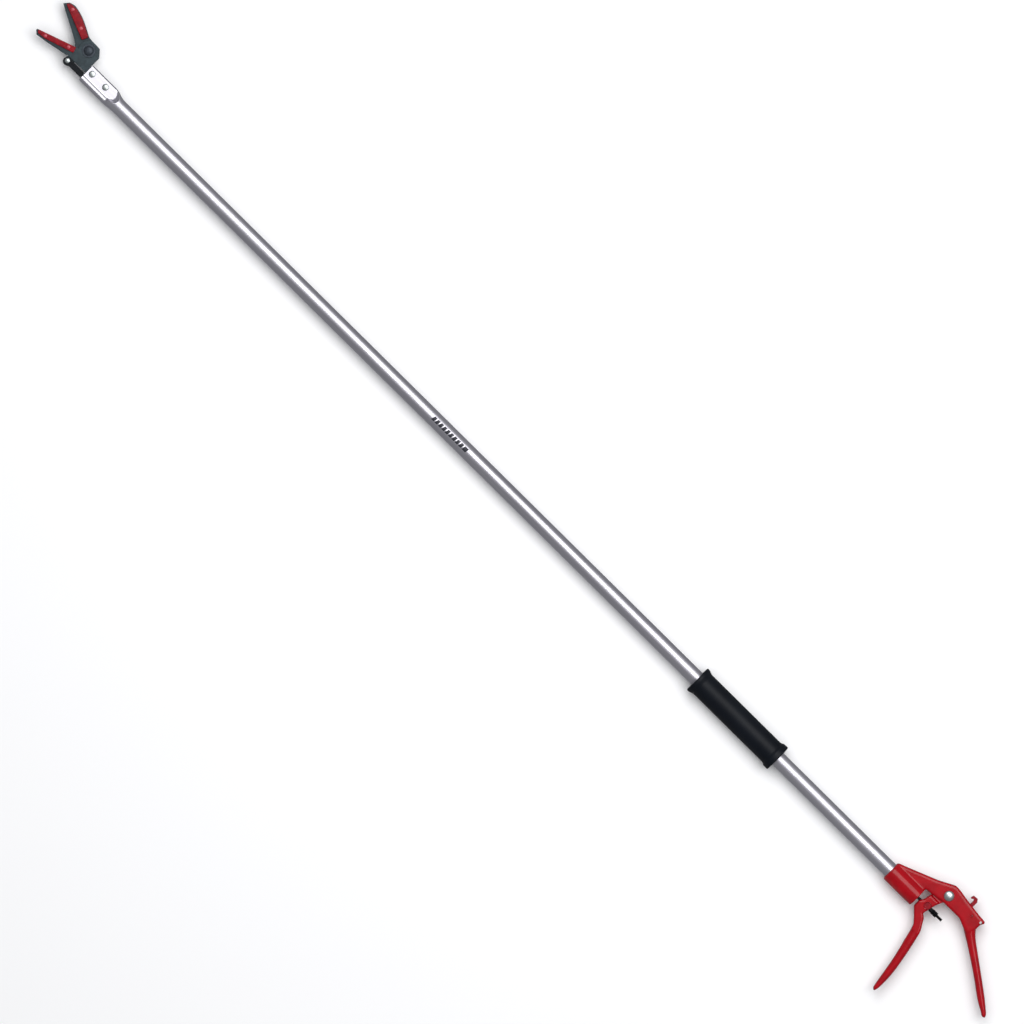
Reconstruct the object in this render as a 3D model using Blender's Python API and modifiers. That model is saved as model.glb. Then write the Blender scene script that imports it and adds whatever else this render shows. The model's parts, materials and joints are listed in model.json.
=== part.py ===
"""Long-reach cut-and-hold pruner: a tube with a squeeze handle at one end and a bypass head at the other.

The pole lies flat.  +X runs along the tube towards the jaws, +Y towards the side that the levers
stand out on, and +Z up through the thickness of the castings.  While it is modelled, the tube's
axis is Y = Z = 0 and the tube's head end is X = 0.  At the end the whole pruner is moved so that the
origin is at the bottom centre of its bounding box.

The trigger turns about its bolt, draws the pull rod back through the tube, and the rod turns the
moving blade by a crank of the same length, so that both turn by the same angle.
"""

import math

import bmesh
import bpy
from mathutils import Matrix, Vector

MM = 0.001

# ---------------------------------------------------------------- driving sizes (metres, degrees)
GAP = 0.3 * MM                     # clearance between two pieces that fit together
SLIDE_GAP = 0.4 * MM               # clearance on each side of a piece that slides or swings

TUBE_LENGTH = 1537.0 * MM
TUBE_RADIUS = 10.5 * MM
TUBE_WALL = 1.2 * MM
FLAT_LENGTH = 43.0 * MM            # pressed-flat end that takes the head
FLAT_TAPER = 20.0 * MM             # from round to flat
CHANNEL_RADIUS = 4.9 * MM          # round bead beside the flat, where the link bar runs
CHANNEL_RISE = 1.5 * MM            # how far the bead stands past the round tube

PLATE_THICKNESS = 3.0 * MM         # head plate, moving blade and link bar
TANG_LENGTH = 42.0 * MM
TANG_LOW = -12.5 * MM
TANG_HIGH = -0.9 * MM
TUBE_RIVET_X = (-32.0 * MM, -7.5 * MM)
TUBE_RIVET_Y = -5.6 * MM
TUBE_RIVET_RADIUS = 2.0 * MM
TUBE_RIVET_HEAD = 4.5 * MM

CRANK_RADIUS = 31.0 * MM           # same on the trigger and on the blade
STROKE_DEG = 41.0                  # from open jaws to shut jaws
LINK_LINE = 5.52 * MM              # height of the link pin's mean path over the tube's axis
HEAD_PIVOT_X = 17.5 * MM
FIXED_JAW_DEG = 19.0               # direction of the fixed jaw
JAW_LINE = 3.2 * MM                # the fixed jaw's inner edge stands this far off the pivot
HEAD_BOLT_RADIUS = 4.0 * MM
HEAD_BOLT_HEAD = 6.5 * MM
HEAD_WASHER_RADIUS = 9.0 * MM
HEAD_WASHER_THICKNESS = 1.2 * MM
HOLDER_THICKNESS = 2.5 * MM        # fixed jaw's gripping plate
HOLDER_RIVET_RADIUS = 1.5 * MM
HOLDER_RIVET_HEAD = 3.0 * MM
LINK_PIN_RADIUS = 2.0 * MM
LINK_PIN_HEAD = 4.5 * MM
LINK_EYE_RADIUS = 5.5 * MM

ROD_RADIUS = 2.0 * MM
ROD_SLEEVE_LENGTH = 20.0 * MM
ROD_SLEEVE_WALL = 1.7 * MM
LINK_BAR_TAIL = 131.0 * MM         # from the link pin back to the rod's sleeve
ROD_NUT_FLATS = 7.0 * MM
ROD_NUT_LENGTH = 4.2 * MM
ROD_TAIL = 9.0 * MM                # threaded end behind the lock nut
GUIDE_COUNT = 4
GUIDE_LENGTH = 12.0 * MM

GRIP_LENGTH = 149.0 * MM
GRIP_RADIUS = 17.5 * MM
GRIP_FLANGE = 20.0 * MM
GRIP_FROM_SOCKET = 209.0 * MM

SOCKET_DEPTH = 46.0 * MM
SOCKET_END_WALL = 4.0 * MM
SOCKET_WALL = 3.7 * MM
HANDLE_HALF = 8.4 * MM             # half thickness of the casting's body
LEVER_HALF = 7.0 * MM              # half thickness of the two hand levers
SLOT_HALF = 4.4 * MM               # half width of the slot that the trigger swings in
TRIGGER_PIVOT_X = -78.0 * MM       # from the socket's mouth
TRIGGER_BOLT_RADIUS = 4.0 * MM
TRIGGER_BOLT_HEAD = 7.0 * MM
HUB_RADIUS = 11.5 * MM
TRUNNION_RADIUS = 5.0 * MM
SPACER_LENGTH = 3.6 * MM
SPACER_WALL = 0.7 * MM

SPRING_RADIUS = 5.5 * MM
SPRING_WIRE = 0.7 * MM             # radius of the wire
SPRING_TURNS = 10
SPRING_LENGTH = 65.0 * MM
SEAT_LENGTH = 8.5 * MM
COLLAR_LENGTH = 6.0 * MM

LOCK_TRAVEL = 6.0 * MM
LOCK_PIN_RADIUS = 1.5 * MM
SCREW_RADIUS = 2.0 * MM

# ---------------------------------------------------------------- sizes that follow
PLATE_HALF = PLATE_THICKNESS / 2
CRANK_REST = math.radians(90.0 - STROKE_DEG / 2)
CRANK_X = CRANK_RADIUS * math.cos(CRANK_REST)
CRANK_Y = CRANK_RADIUS * math.sin(CRANK_REST)
CRANK_MEAN = (CRANK_RADIUS + CRANK_Y) / 2          # mean height of the crank's end over its pivot
CRANK_RISE = (CRANK_RADIUS - CRANK_Y) / 2          # how far it leaves that mean height
HEAD_PIVOT = Vector((HEAD_PIVOT_X, LINK_LINE - CRANK_MEAN, 0))
LINK_PIN = HEAD_PIVOT + Vector((CRANK_X, CRANK_Y, 0))
TRIGGER_PIVOT = Vector((TRIGGER_PIVOT_X, -CRANK_MEAN, 0))
TRUNNION = Vector((CRANK_X, CRANK_Y, 0))           # from the trigger's pivot
SOCKET_MOUTH = Vector((SOCKET_DEPTH - TUBE_LENGTH, 0, 0))
SOCKET_RADIUS = TUBE_RADIUS + GAP + SOCKET_WALL
TUBE_BORE = TUBE_RADIUS - TUBE_WALL
FLAT_HALF = PLATE_HALF + GAP + TUBE_WALL
FLAT_LOW = TANG_LOW - PLATE_HALF * 2 / 3 - TUBE_WALL   # room for the rounded edge beside the tang
CHANNEL_TOP = TUBE_RADIUS + CHANNEL_RISE
BAR_LOW = TANG_HIGH + 1.3 * MM
BAR_HIGH = math.sqrt((TUBE_BORE - 2 * GAP) ** 2 - PLATE_HALF ** 2)
BLADE_TOP = -PLATE_HALF - GAP
BLADE_BOTTOM = BLADE_TOP - PLATE_THICKNESS
HOLDER_LOW = PLATE_HALF + GAP
HOLDER_TOP = HOLDER_LOW + HOLDER_THICKNESS
ROD_HOLE = ROD_RADIUS + GAP
ROD_SLEEVE_RADIUS = ROD_RADIUS + GAP + ROD_SLEEVE_WALL
SLEEVE_X = LINK_PIN.x - LINK_BAR_TAIL
SPACER_RADIUS = ROD_HOLE + SPACER_WALL
POCKET_HALF = SPACER_RADIUS + SLIDE_GAP
TRIGGER_NECK_HALF = SLOT_HALF - SLIDE_GAP
ROD_LINE_X = SOCKET_MOUTH.x + TRIGGER_PIVOT.x + CRANK_X   # trunnion's place along the rod
SPACER_X = ROD_LINE_X - TRUNNION_RADIUS - GAP
ROD_NUT_X = SPACER_X - SPACER_LENGTH - GAP
LOCK_NUT_X = ROD_NUT_X - ROD_NUT_LENGTH - GAP
ROD_END_X = LOCK_NUT_X - ROD_NUT_LENGTH - ROD_TAIL
SEAT_X = SOCKET_MOUTH.x - SOCKET_DEPTH + 0.5 * MM  # rear face of the spring seat
SPRING_X = SEAT_X + SEAT_LENGTH
COLLAR_X = SPRING_X + SPRING_LENGTH

for old in list(bpy.data.objects):
    bpy.data.objects.remove(old)

PARTS = bpy.data.collections.new("cut_and_hold_pruner")
CUTTERS = bpy.data.collections.new("cutters")
bpy.context.scene.collection.children.link(PARTS)
bpy.context.scene.collection.children.link(CUTTERS)


# ---------------------------------------------------------------- materials
def material(name, colour, roughness, metallic=0.0):
    """A Principled material with one colour."""
    made = bpy.data.materials.new(name)
    made.use_nodes = True
    shader = made.node_tree.nodes["Principled BSDF"]
    shader.inputs["Base Color"].default_value = (*colour, 1.0)
    shader.inputs["Roughness"].default_value = roughness
    shader.inputs["Metallic"].default_value = metallic
    return made


RED_ENAMEL = material("red_enamel", (0.45, 0.006, 0.012), 0.25)
DARK_RED = material("dark_red_enamel", (0.25, 0.01, 0.02), 0.4)
TUBE_METAL = material("tube_aluminium", (0.62, 0.61, 0.63), 0.3, 1.0)
GRIP_RUBBER = material("grip_rubber", (0.01, 0.012, 0.018), 0.6)
HEAD_STEEL = material("coated_steel", (0.05, 0.07, 0.075), 0.45, 0.5)
ZINC = material("zinc_steel", (0.75, 0.76, 0.75), 0.3, 1.0)
BLACK_STEEL = material("black_steel", (0.015, 0.015, 0.018), 0.4, 0.8)
NYLON = material("nylon", (0.75, 0.75, 0.7), 0.5)
SPRING_STEEL = material("spring_steel", (0.35, 0.35, 0.36), 0.3, 1.0)


# ---------------------------------------------------------------- outlines
def mm(*points):
    """Points given in millimetres, turned to metres."""
    return [tuple(value * MM for value in point) for point in points]


def moved(points, origin):
    """Outline points carried by an origin; a third value, a corner's radius, stays."""
    return [(p[0] + origin[0], p[1] + origin[1], *p[2:]) for p in points]


def arc(centre, radius, start_deg, end_deg, step_deg=11.25):
    """Points on an arc, both ends included."""
    count = max(1, math.ceil(abs(end_deg - start_deg) / step_deg))
    angles = [math.radians(start_deg + (end_deg - start_deg) * i / count) for i in range(count + 1)]
    return [(centre[0] + radius * math.cos(a), centre[1] + radius * math.sin(a)) for a in angles]


def rounded(corners, step_deg=18.0):
    """An outline whose corners (x, y, radius) are replaced by arcs; no radius keeps a corner sharp."""
    outline = []
    for index, corner in enumerate(corners):
        here = Vector(corner[:2])
        radius = corner[2] if len(corner) > 2 else 0.0
        back = Vector(corners[index - 1][:2]) - here
        ahead = Vector(corners[(index + 1) % len(corners)][:2]) - here
        turn = math.pi - back.angle(ahead)
        reach = radius * math.tan(turn / 2)
        room = 0.48 * min(back.length, ahead.length)
        if radius == 0.0 or turn < 0.02:
            outline.append(tuple(here))
            continue
        radius *= min(1.0, room / reach)
        centre_way = (back.normalized() + ahead.normalized()).normalized()
        centre = here + centre_way * radius / math.cos(turn / 2)
        first = here + back.normalized() * radius * math.tan(turn / 2) - centre
        side = 1.0 if back.cross(ahead) < 0 else -1.0
        count = max(1, math.ceil(math.degrees(turn) / step_deg))
        for i in range(count + 1):
            angle = math.atan2(first.y, first.x) + side * turn * i / count
            outline.append((centre.x + radius * math.cos(angle), centre.y + radius * math.sin(angle)))
    return outline


def flowing(points, steps=4):
    """A smooth line through the points (Catmull-Rom)."""
    line = []
    ends = [points[0]] + list(points) + [points[-1]]
    for i in range(1, len(ends) - 2):
        p0, p1, p2, p3 = (Vector(ends[i + k][:2]) for k in (-1, 0, 1, 2))
        for k in range(steps):
            t = k / steps
            place = p1 + 0.5 * t * ((p2 - p0) + t * ((2 * p0 - 5 * p1 + 4 * p2 - p3)
                                                     + t * (3 * (p1 - p2) + p3 - p0)))
            line.append(tuple(place))
    line.append(tuple(points[-1][:2]))
    return line


def swung(points, angle_deg):
    """Outline points turned about the origin."""
    cos, sin = math.cos(math.radians(angle_deg)), math.sin(math.radians(angle_deg))
    return [(p[0] * cos - p[1] * sin, p[0] * sin + p[1] * cos, *p[2:]) for p in points]


# ---------------------------------------------------------------- solids
def frame(name, parent=None, location=(0, 0, 0), turn_deg=0.0):
    """An empty that carries pieces."""
    empty = bpy.data.objects.new(name, None)
    empty.empty_display_size = 0.01
    empty.location = location
    empty.rotation_euler.z = math.radians(turn_deg)
    empty.parent = parent
    PARTS.objects.link(empty)
    return empty


def piece(name, mesh, parent, finish=None, location=(0, 0, 0), rotation=(0, 0, 0)):
    """A mesh object: a part when it has a finish, a cutter when it hasn't."""
    made = bpy.data.objects.new(name, mesh)
    made.parent = parent
    made.location = location
    made.rotation_euler = rotation
    if finish is None:
        CUTTERS.objects.link(made)
        made.hide_render = True
        made.display_type = "WIRE"
        return made
    PARTS.objects.link(made)
    mesh.materials.clear()
    mesh.materials.append(finish)
    mesh.shade_smooth()
    mesh.set_sharp_from_angle(angle=math.radians(35))
    return made


def plate(name, outline, low, high, parent, finish=None, location=(0, 0, 0)):
    """A flat piece: a filled outline, extruded from one height to another."""
    curve = bpy.data.curves.new(name, "CURVE")
    curve.dimensions = "2D"
    curve.fill_mode = "BOTH"
    curve.extrude = (high - low) / 2
    spline = curve.splines.new("POLY")
    spline.points.add(len(outline) - 1)
    for point, place in zip(spline.points, outline):
        point.co = (place[0], place[1], 0, 1)
    spline.use_cyclic_u = True
    mesh = meshed(curve)
    for vertex in mesh.vertices:
        vertex.co.z += (low + high) / 2
    return piece(name, mesh, parent, finish, location)


def meshed(curve):
    """A curve's solid as a closed mesh; the curve is removed."""
    holder = bpy.data.objects.new(curve.name, curve)
    CUTTERS.objects.link(holder)
    graph = bpy.context.evaluated_depsgraph_get()
    mesh = bpy.data.meshes.new_from_object(holder.evaluated_get(graph))
    mesh.name = curve.name
    shape = bmesh.new()
    shape.from_mesh(mesh)
    bmesh.ops.remove_doubles(shape, verts=shape.verts, dist=0.000002)
    bmesh.ops.recalc_face_normals(shape, faces=shape.faces)
    shape.to_mesh(mesh)
    shape.free()
    bpy.data.objects.remove(holder)
    bpy.data.curves.remove(curve)
    return mesh


def rod(name, radius, low, high, parent, finish=None, location=(0, 0, 0), along="Z", sides=24):
    """A round or hexagonal bar between two places on its axis."""
    mesh = bpy.data.meshes.new(name)
    shape = bmesh.new()
    bmesh.ops.create_cone(shape, cap_ends=True, segments=sides, radius1=radius, radius2=radius,
                          depth=high - low)
    bmesh.ops.rotate(shape, verts=shape.verts, matrix=Matrix.Rotation(math.pi / sides, 3, "Z"))
    bmesh.ops.translate(shape, verts=shape.verts, vec=(0, 0, (low + high) / 2))
    shape.to_mesh(mesh)
    shape.free()
    rotation = (0, math.radians(90), 0) if along == "X" else (0, 0, 0)
    return piece(name, mesh, parent, finish, location, rotation)


def turned(name, profile, parent, finish, location=(0, 0, 0), along="Z", steps=32, ring=False):
    """A turned piece: (radius, height) points down its outer side, swept by a Screw modifier."""
    mesh = bpy.data.meshes.new(name)
    links = [(i, i + 1) for i in range(len(profile) - 1)]
    if ring:
        links.append((len(profile) - 1, 0))
    mesh.from_pydata([(radius, 0, height) for radius, height in profile], links, [])
    rotation = (0, math.radians(90), 0) if along == "X" else (0, 0, 0)
    made = piece(name, mesh, parent, finish, location, rotation)
    screw = made.modifiers.new("turn", "SCREW")
    screw.axis = "Z"
    screw.steps = steps
    screw.render_steps = steps
    screw.use_merge_vertices = True
    screw.merge_threshold = 0.000002
    screw.use_smooth_shade = True
    return made


def combine(made, tool, operation="DIFFERENCE"):
    """Cut a piece with a cutter, or join one to it."""
    change = made.modifiers.new(tool.name, "BOOLEAN")
    change.operation = operation
    change.object = tool
    change.solver = "EXACT"
    return made


def drill(made, name, radius, places, low, high, parent, sides=24, along="Z"):
    """Round holes through a piece, one cutter for each place."""
    for index, place in enumerate(places):
        tool = rod(f"cut_{name}_{index + 1}", radius, low, high, parent, location=place, along=along,
                   sides=sides)
        combine(made, tool)
    return made


# ---------------------------------------------------------------- frames that carry the pieces
PRUNER = frame("pruner")
HANDLE = frame("handle_frame", PRUNER, SOCKET_MOUTH)
TRIGGER = frame("trigger_frame", PRUNER, SOCKET_MOUTH + TRIGGER_PIVOT)
BLADE = frame("blade_frame", PRUNER, HEAD_PIVOT, FIXED_JAW_DEG - STROKE_DEG)


# ---------------------------------------------------------------- tube
def tube_ring(flatness, inset, count=40):
    """One (y, z) ring of the tube, round at flatness 0 and pressed flat with a bead at 1."""
    low, high = FLAT_LOW + inset, CHANNEL_TOP - inset
    flat, bead = FLAT_HALF - inset, CHANNEL_RADIUS - inset
    bead_y = CHANNEL_TOP - CHANNEL_RADIUS
    radius = TUBE_RADIUS - inset
    ring = []
    for i in range(count):
        angle = 2 * math.pi * i / count
        y = (low + high) / 2 + (high - low) / 2 * math.cos(angle)
        edge = low + flat
        half = flat if y > edge else math.sqrt(max(0.0, flat ** 2 - (edge - y) ** 2))
        over = max(0.0, bead ** 2 - (y - bead_y) ** 2)
        half = math.sqrt(over) if y > bead_y else max(half, math.sqrt(over))
        z = math.copysign(half, math.sin(angle)) if i % (count // 2) else 0.0
        ring.append((radius * math.cos(angle) * (1 - flatness) + y * flatness,
                     radius * math.sin(angle) * (1 - flatness) + z * flatness))
    return ring


def make_tube():
    """The pole: round, then pressed to a flat with a bead that the link bar slides in."""
    stations = [(-TUBE_LENGTH, 0.0)]
    for i in range(8):
        share = i / 7
        stations.append((-FLAT_LENGTH - FLAT_TAPER * (1 - share), share * share * (3 - 2 * share)))
    stations.append((0.0, 1.0))
    shape = bmesh.new()
    skins = []
    for inset in (0.0, TUBE_WALL):
        skins.append([[shape.verts.new((x, y, z)) for y, z in tube_ring(flatness, inset)]
                      for x, flatness in stations])
    outer, inner = skins
    count = len(outer[0])
    for i in range(count):
        j = (i + 1) % count
        for a, b in zip(outer, outer[1:]):
            shape.faces.new((a[i], b[i], b[j], a[j]))
        for a, b in zip(inner, inner[1:]):
            shape.faces.new((a[j], b[j], b[i], a[i]))
        shape.faces.new((outer[0][j], inner[0][j], inner[0][i], outer[0][i]))
        shape.faces.new((outer[-1][i], inner[-1][i], inner[-1][j], outer[-1][j]))
    bmesh.ops.recalc_face_normals(shape, faces=shape.faces)
    mesh = bpy.data.meshes.new("tube")
    shape.to_mesh(mesh)
    shape.free()
    tube = piece("tube", mesh, PRUNER, TUBE_METAL)
    holes = [(x, TUBE_RIVET_Y, 0) for x in TUBE_RIVET_X]
    drill(tube, "tube_rivet", TUBE_RIVET_RADIUS + GAP, holes, -2 * FLAT_HALF, 2 * FLAT_HALF, PRUNER)
    drill(tube, "tube_screw", SCREW_RADIUS + GAP, [(SEAT_X + SEAT_LENGTH / 2, 0, 0)],
          -SOCKET_RADIUS, -TUBE_BORE / 2, PRUNER, sides=16)


def make_tube_rivets():
    """Two domed rivets through the tube's flat and the head's tang."""
    head = 1.6 * MM
    face = FLAT_HALF + GAP
    radius = TUBE_RIVET_HEAD
    dome = [(0, face + head), (0.5 * radius, face + 0.85 * head), (0.82 * radius, face + 0.5 * head),
            (radius, face), (TUBE_RIVET_RADIUS, face)]
    profile = dome + [(r, -z) for r, z in reversed(dome)]
    for index, x in enumerate(TUBE_RIVET_X):
        turned(f"tube_rivet_{index + 1}", profile, PRUNER, ZINC, (x, TUBE_RIVET_Y, 0), steps=24)


# ---------------------------------------------------------------- head
def jaw(points, turn_deg=FIXED_JAW_DEG, origin=HEAD_PIVOT):
    """Points given along and across a jaw, from the pivot, as outline points."""
    return moved(swung(points, turn_deg), origin)


def make_head_plate():
    """The fixed plate: a tang inside the tube, the hub, and the fixed jaw's blade."""
    x, y = HEAD_PIVOT.x, HEAD_PIVOT.y
    hub = 13.5 * MM
    hub_end = FIXED_JAW_DEG + math.degrees(math.asin(JAW_LINE / hub))
    corners = [(x + 16.5 * MM, TANG_HIGH), (-TANG_LENGTH, TANG_HIGH, 4 * MM),
               (-TANG_LENGTH, TANG_LOW, 4 * MM), (0.8 * MM, TANG_LOW), (0.8 * MM, y - 2.5 * MM, 2 * MM),
               (x - 8.5 * MM, y - 11.8 * MM, 3 * MM), (x + 7.0 * MM, y - 12.2 * MM)]
    outline = rounded(corners) + arc(HEAD_PIVOT, hub, -50.0, hub_end)
    inner = [(73.2 * MM, JAW_LINE)]
    back = mm((74.6, 5.0), (71.4, 10.6), (55.0, 13.8), (24.7, 17.9))
    outline += jaw(inner + back)
    head = plate("head_plate", outline, -PLATE_HALF, PLATE_HALF, PRUNER, HEAD_STEEL)
    low, high = -2 * PLATE_HALF, 2 * PLATE_HALF
    drill(head, "head_rivet", TUBE_RIVET_RADIUS + GAP, [(cx, TUBE_RIVET_Y, 0) for cx in TUBE_RIVET_X],
          low, high, PRUNER)
    drill(head, "head_pivot", HEAD_BOLT_RADIUS + GAP, [HEAD_PIVOT], low, high, PRUNER)
    drill(head, "holder_rivet", HOLDER_RIVET_RADIUS + GAP, fixed_rivet_places(), low, high, PRUNER,
          sides=16)


def fixed_rivet_places():
    """Where the fixed holder's rivets stand."""
    return [(*place, 0) for place in jaw(mm((26.0, 7.2), (60.0, 7.0)))]


def make_fixed_holder():
    """The red gripping plate riveted on the fixed jaw."""
    corners = mm((17.0, 3.2, 1.0), (72.0, 3.2, 1.5), (71.0, 7.8, 2.0), (60.0, 10.4, 8.0), (17.0, 11.4, 1.5))
    corners = [(p[0], max(p[1], JAW_LINE), p[2]) for p in corners]
    holder = plate("fixed_holder", rounded(jaw(corners)), HOLDER_LOW, HOLDER_TOP, PRUNER, DARK_RED)
    drill(holder, "fixed_holder", HOLDER_RIVET_RADIUS + GAP, fixed_rivet_places(), 0, 2 * HOLDER_TOP,
          PRUNER, sides=16)
    head_low = HOLDER_TOP + GAP
    for index, place in enumerate(fixed_rivet_places()):
        profile = rivet_head(head_low) + [(HOLDER_RIVET_RADIUS, -PLATE_HALF), (0, -PLATE_HALF)]
        turned(f"fixed_holder_rivet_{index + 1}", profile, PRUNER, DARK_RED, place, steps=16)


def rivet_head(low):
    """The domed head of a holder's rivet, standing on a height."""
    radius, height = HOLDER_RIVET_HEAD, 1.3 * MM
    return [(0, low + height), (0.6 * radius, low + 0.8 * height), (radius, low),
            (HOLDER_RIVET_RADIUS, low)]


def make_moving_blade():
    """The cutting blade with its crank arm; the rod pushes and pulls the arm's eye."""
    eye = swung([(CRANK_X, CRANK_Y)], STROKE_DEG - FIXED_JAW_DEG)[0]
    hub = 12.0 * MM
    lower = mm((16.3, -7.4), (33.2, -9.0), (44.3, -9.4), (54.6, -8.4), (62.4, -6.4), (68.4, -1.7))
    tip = mm((71.0, 6.3))
    edge = mm((58.9, 7.9), (47.7, 8.9), (36.3, 10.1), (25.2, 11.4), (15.0, 13.4))
    root = [(eye[0] + 6.5 * MM, 0.6 * eye[1])]
    top = arc(eye, LINK_EYE_RADIUS, 0.0, 180.0, 22.5)
    side = [(eye[0] - 6.0 * MM, 0.5 * eye[1])]
    outline = flowing(lower, 2) + tip + flowing(edge, 2) + root + top + side
    outline += arc((0, 0), hub, 150.0, 305.0)
    blade = plate("moving_blade", outline, BLADE_BOTTOM, BLADE_TOP, BLADE, HEAD_STEEL)
    low, high = 2 * BLADE_BOTTOM, 0
    drill(blade, "blade_pivot", HEAD_BOLT_RADIUS + GAP, [(0, 0, 0)], low, high, BLADE)
    drill(blade, "blade_link", LINK_PIN_RADIUS + GAP, [(*eye, 0)], low, high, BLADE, sides=16)
    drill(blade, "blade_rivet", HOLDER_RIVET_RADIUS + GAP, moving_rivet_places(), low, high, BLADE,
          sides=16)
    return eye


def moving_rivet_places():
    """Where the moving holder's rivets stand, in the blade's frame."""
    return [(*place, 0) for place in mm((31.0, -2.4), (58.0, -2.2))]


def make_moving_holder():
    """The red gripping block riveted on the blade, level with the fixed plate."""
    line = JAW_LINE - 0.5 * MM
    corners = [(*mm((16.5, -6.4))[0], 1 * MM), (*mm((33.2, -8.2))[0], 9 * MM), (*mm((44.3, -8.7))[0], 9 * MM),
               (*mm((56.0, -7.4))[0], 9 * MM), (*mm((66.8, -2.4))[0], 2 * MM), (68.2 * MM, line, 1 * MM),
               (16.5 * MM, line, 1.5 * MM)]
    low = BLADE_TOP + GAP
    holder = plate("moving_holder", rounded(corners), low, HOLDER_TOP, BLADE, DARK_RED)
    drill(holder, "moving_holder", HOLDER_RIVET_RADIUS + GAP, moving_rivet_places(), 2 * low,
          2 * HOLDER_TOP, BLADE, sides=16)
    top = rivet_head(HOLDER_TOP + GAP)
    foot = BLADE_BOTTOM - GAP
    for index, place in enumerate(moving_rivet_places()):
        profile = top + [(HOLDER_RIVET_RADIUS, foot), (0.8 * HOLDER_RIVET_HEAD, foot),
                         (0.7 * HOLDER_RIVET_HEAD, foot - 0.9 * MM), (0, foot - 0.9 * MM)]
        turned(f"moving_holder_rivet_{index + 1}", profile, BLADE, DARK_RED, place, steps=16)


def make_head_bolt():
    """The pivot bolt with its washer and nut."""
    top = HOLDER_LOW + HEAD_WASHER_THICKNESS
    turned("head_pivot_washer",
           [(HEAD_WASHER_RADIUS - 0.4 * MM, top), (HEAD_WASHER_RADIUS, top - 0.4 * MM),
            (HEAD_WASHER_RADIUS, HOLDER_LOW), (HEAD_BOLT_RADIUS + GAP, HOLDER_LOW),
            (HEAD_BOLT_RADIUS + GAP, top)], PRUNER, BLACK_STEEL, HEAD_PIVOT, ring=True)
    seat = top + GAP
    foot = BLADE_BOTTOM - GAP
    nut = 4.5 * MM
    radius = HEAD_BOLT_HEAD
    turned("head_pivot_bolt",
           [(0, seat + 4.0 * MM), (0.45 * radius, seat + 3.8 * MM), (0.8 * radius, seat + 2.8 * MM),
            (radius, seat + 1.2 * MM), (radius, seat), (HEAD_BOLT_RADIUS, seat),
            (HEAD_BOLT_RADIUS, foot - nut - 1.0 * MM), (0, foot - nut - 1.0 * MM)],
           PRUNER, BLACK_STEEL, HEAD_PIVOT)
    hex_radius = 7.5 * MM
    fixed = rod("head_pivot_nut", hex_radius, foot - nut, foot, PRUNER, BLACK_STEEL, HEAD_PIVOT, sides=6)
    drill(fixed, "head_nut", HEAD_BOLT_RADIUS + GAP, [HEAD_PIVOT], foot - 2 * nut, 0, PRUNER)


def make_link_pin(eye):
    """The pin that joins the blade's arm to the link bar."""
    top = PLATE_HALF + GAP
    foot = BLADE_BOTTOM - GAP
    radius = LINK_PIN_HEAD
    profile = [(0, top + 1.7 * MM), (0.6 * radius, top + 1.4 * MM), (radius, top + 0.4 * MM), (radius, top),
               (LINK_PIN_RADIUS, top), (LINK_PIN_RADIUS, foot), (0.8 * radius, foot),
               (0.7 * radius, foot - 1.0 * MM), (0, foot - 1.0 * MM)]
    turned("link_pin", profile, BLADE, ZINC, (*eye, 0), steps=24)


# ---------------------------------------------------------------- pull rod
def make_link_bar():
    """The flat bar that slides in the tube's bead, welded to a sleeve on the round rod."""
    eye = (LINK_PIN.x, LINK_LINE)
    middle = SLEEVE_X + ROD_SLEEVE_LENGTH * 0.4
    outline = [(middle, BAR_HIGH), (middle, BAR_LOW), (eye[0] - 5.0 * MM, BAR_LOW)]
    outline += arc(eye, LINK_EYE_RADIUS, -80.0, 110.0, 19.0)
    outline += [(eye[0] - 7.0 * MM, BAR_HIGH)]
    bar = plate("link_bar", outline, -PLATE_HALF, PLATE_HALF, PRUNER, BLACK_STEEL)
    sleeve = rod("join_sleeve", ROD_SLEEVE_RADIUS, SLEEVE_X, SLEEVE_X + ROD_SLEEVE_LENGTH, PRUNER, along="X")
    combine(bar, sleeve, "UNION")
    bore = rod("cut_sleeve", ROD_HOLE, SLEEVE_X - 1 * MM, SLEEVE_X + ROD_SLEEVE_LENGTH - 2 * MM, PRUNER,
               along="X")
    combine(bar, bore)
    half, reach = LINK_PIN_RADIUS + GAP, CRANK_RISE + LINK_PIN_RADIUS + GAP
    slot = [(half, -reach, half), (half, reach, half), (-half, reach, half), (-half, -reach, half)]
    combine(bar, plate("cut_link_slot", rounded(moved(slot, eye)), -2 * PLATE_HALF, 2 * PLATE_HALF, PRUNER))


def make_rod():
    """The long rod, its spacer, its two nuts and the collar that the spring pushes on."""
    rod_head = SLEEVE_X + ROD_SLEEVE_LENGTH - 2.5 * MM
    rod("pull_rod", ROD_RADIUS, ROD_END_X, rod_head, PRUNER, BLACK_STEEL, along="X", sides=16)
    ring_piece("rod_spacer", ROD_HOLE, SPACER_RADIUS, SPACER_X - SPACER_LENGTH, SPACER_X, BLACK_STEEL)
    for name, place in (("rod_nut", ROD_NUT_X), ("lock_nut", LOCK_NUT_X)):
        nut = rod(name, ROD_NUT_FLATS / 2 / math.cos(math.pi / 6), place - ROD_NUT_LENGTH, place, PRUNER,
                  BLACK_STEEL, along="X", sides=6)
        drill(nut, name, ROD_HOLE, [(0, 0, 0)], place - 2 * ROD_NUT_LENGTH, place + ROD_NUT_LENGTH, PRUNER,
              sides=16, along="X")
    ring_piece("spring_collar", ROD_HOLE, TUBE_BORE - 4 * GAP, COLLAR_X, COLLAR_X + COLLAR_LENGTH, ZINC)


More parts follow.
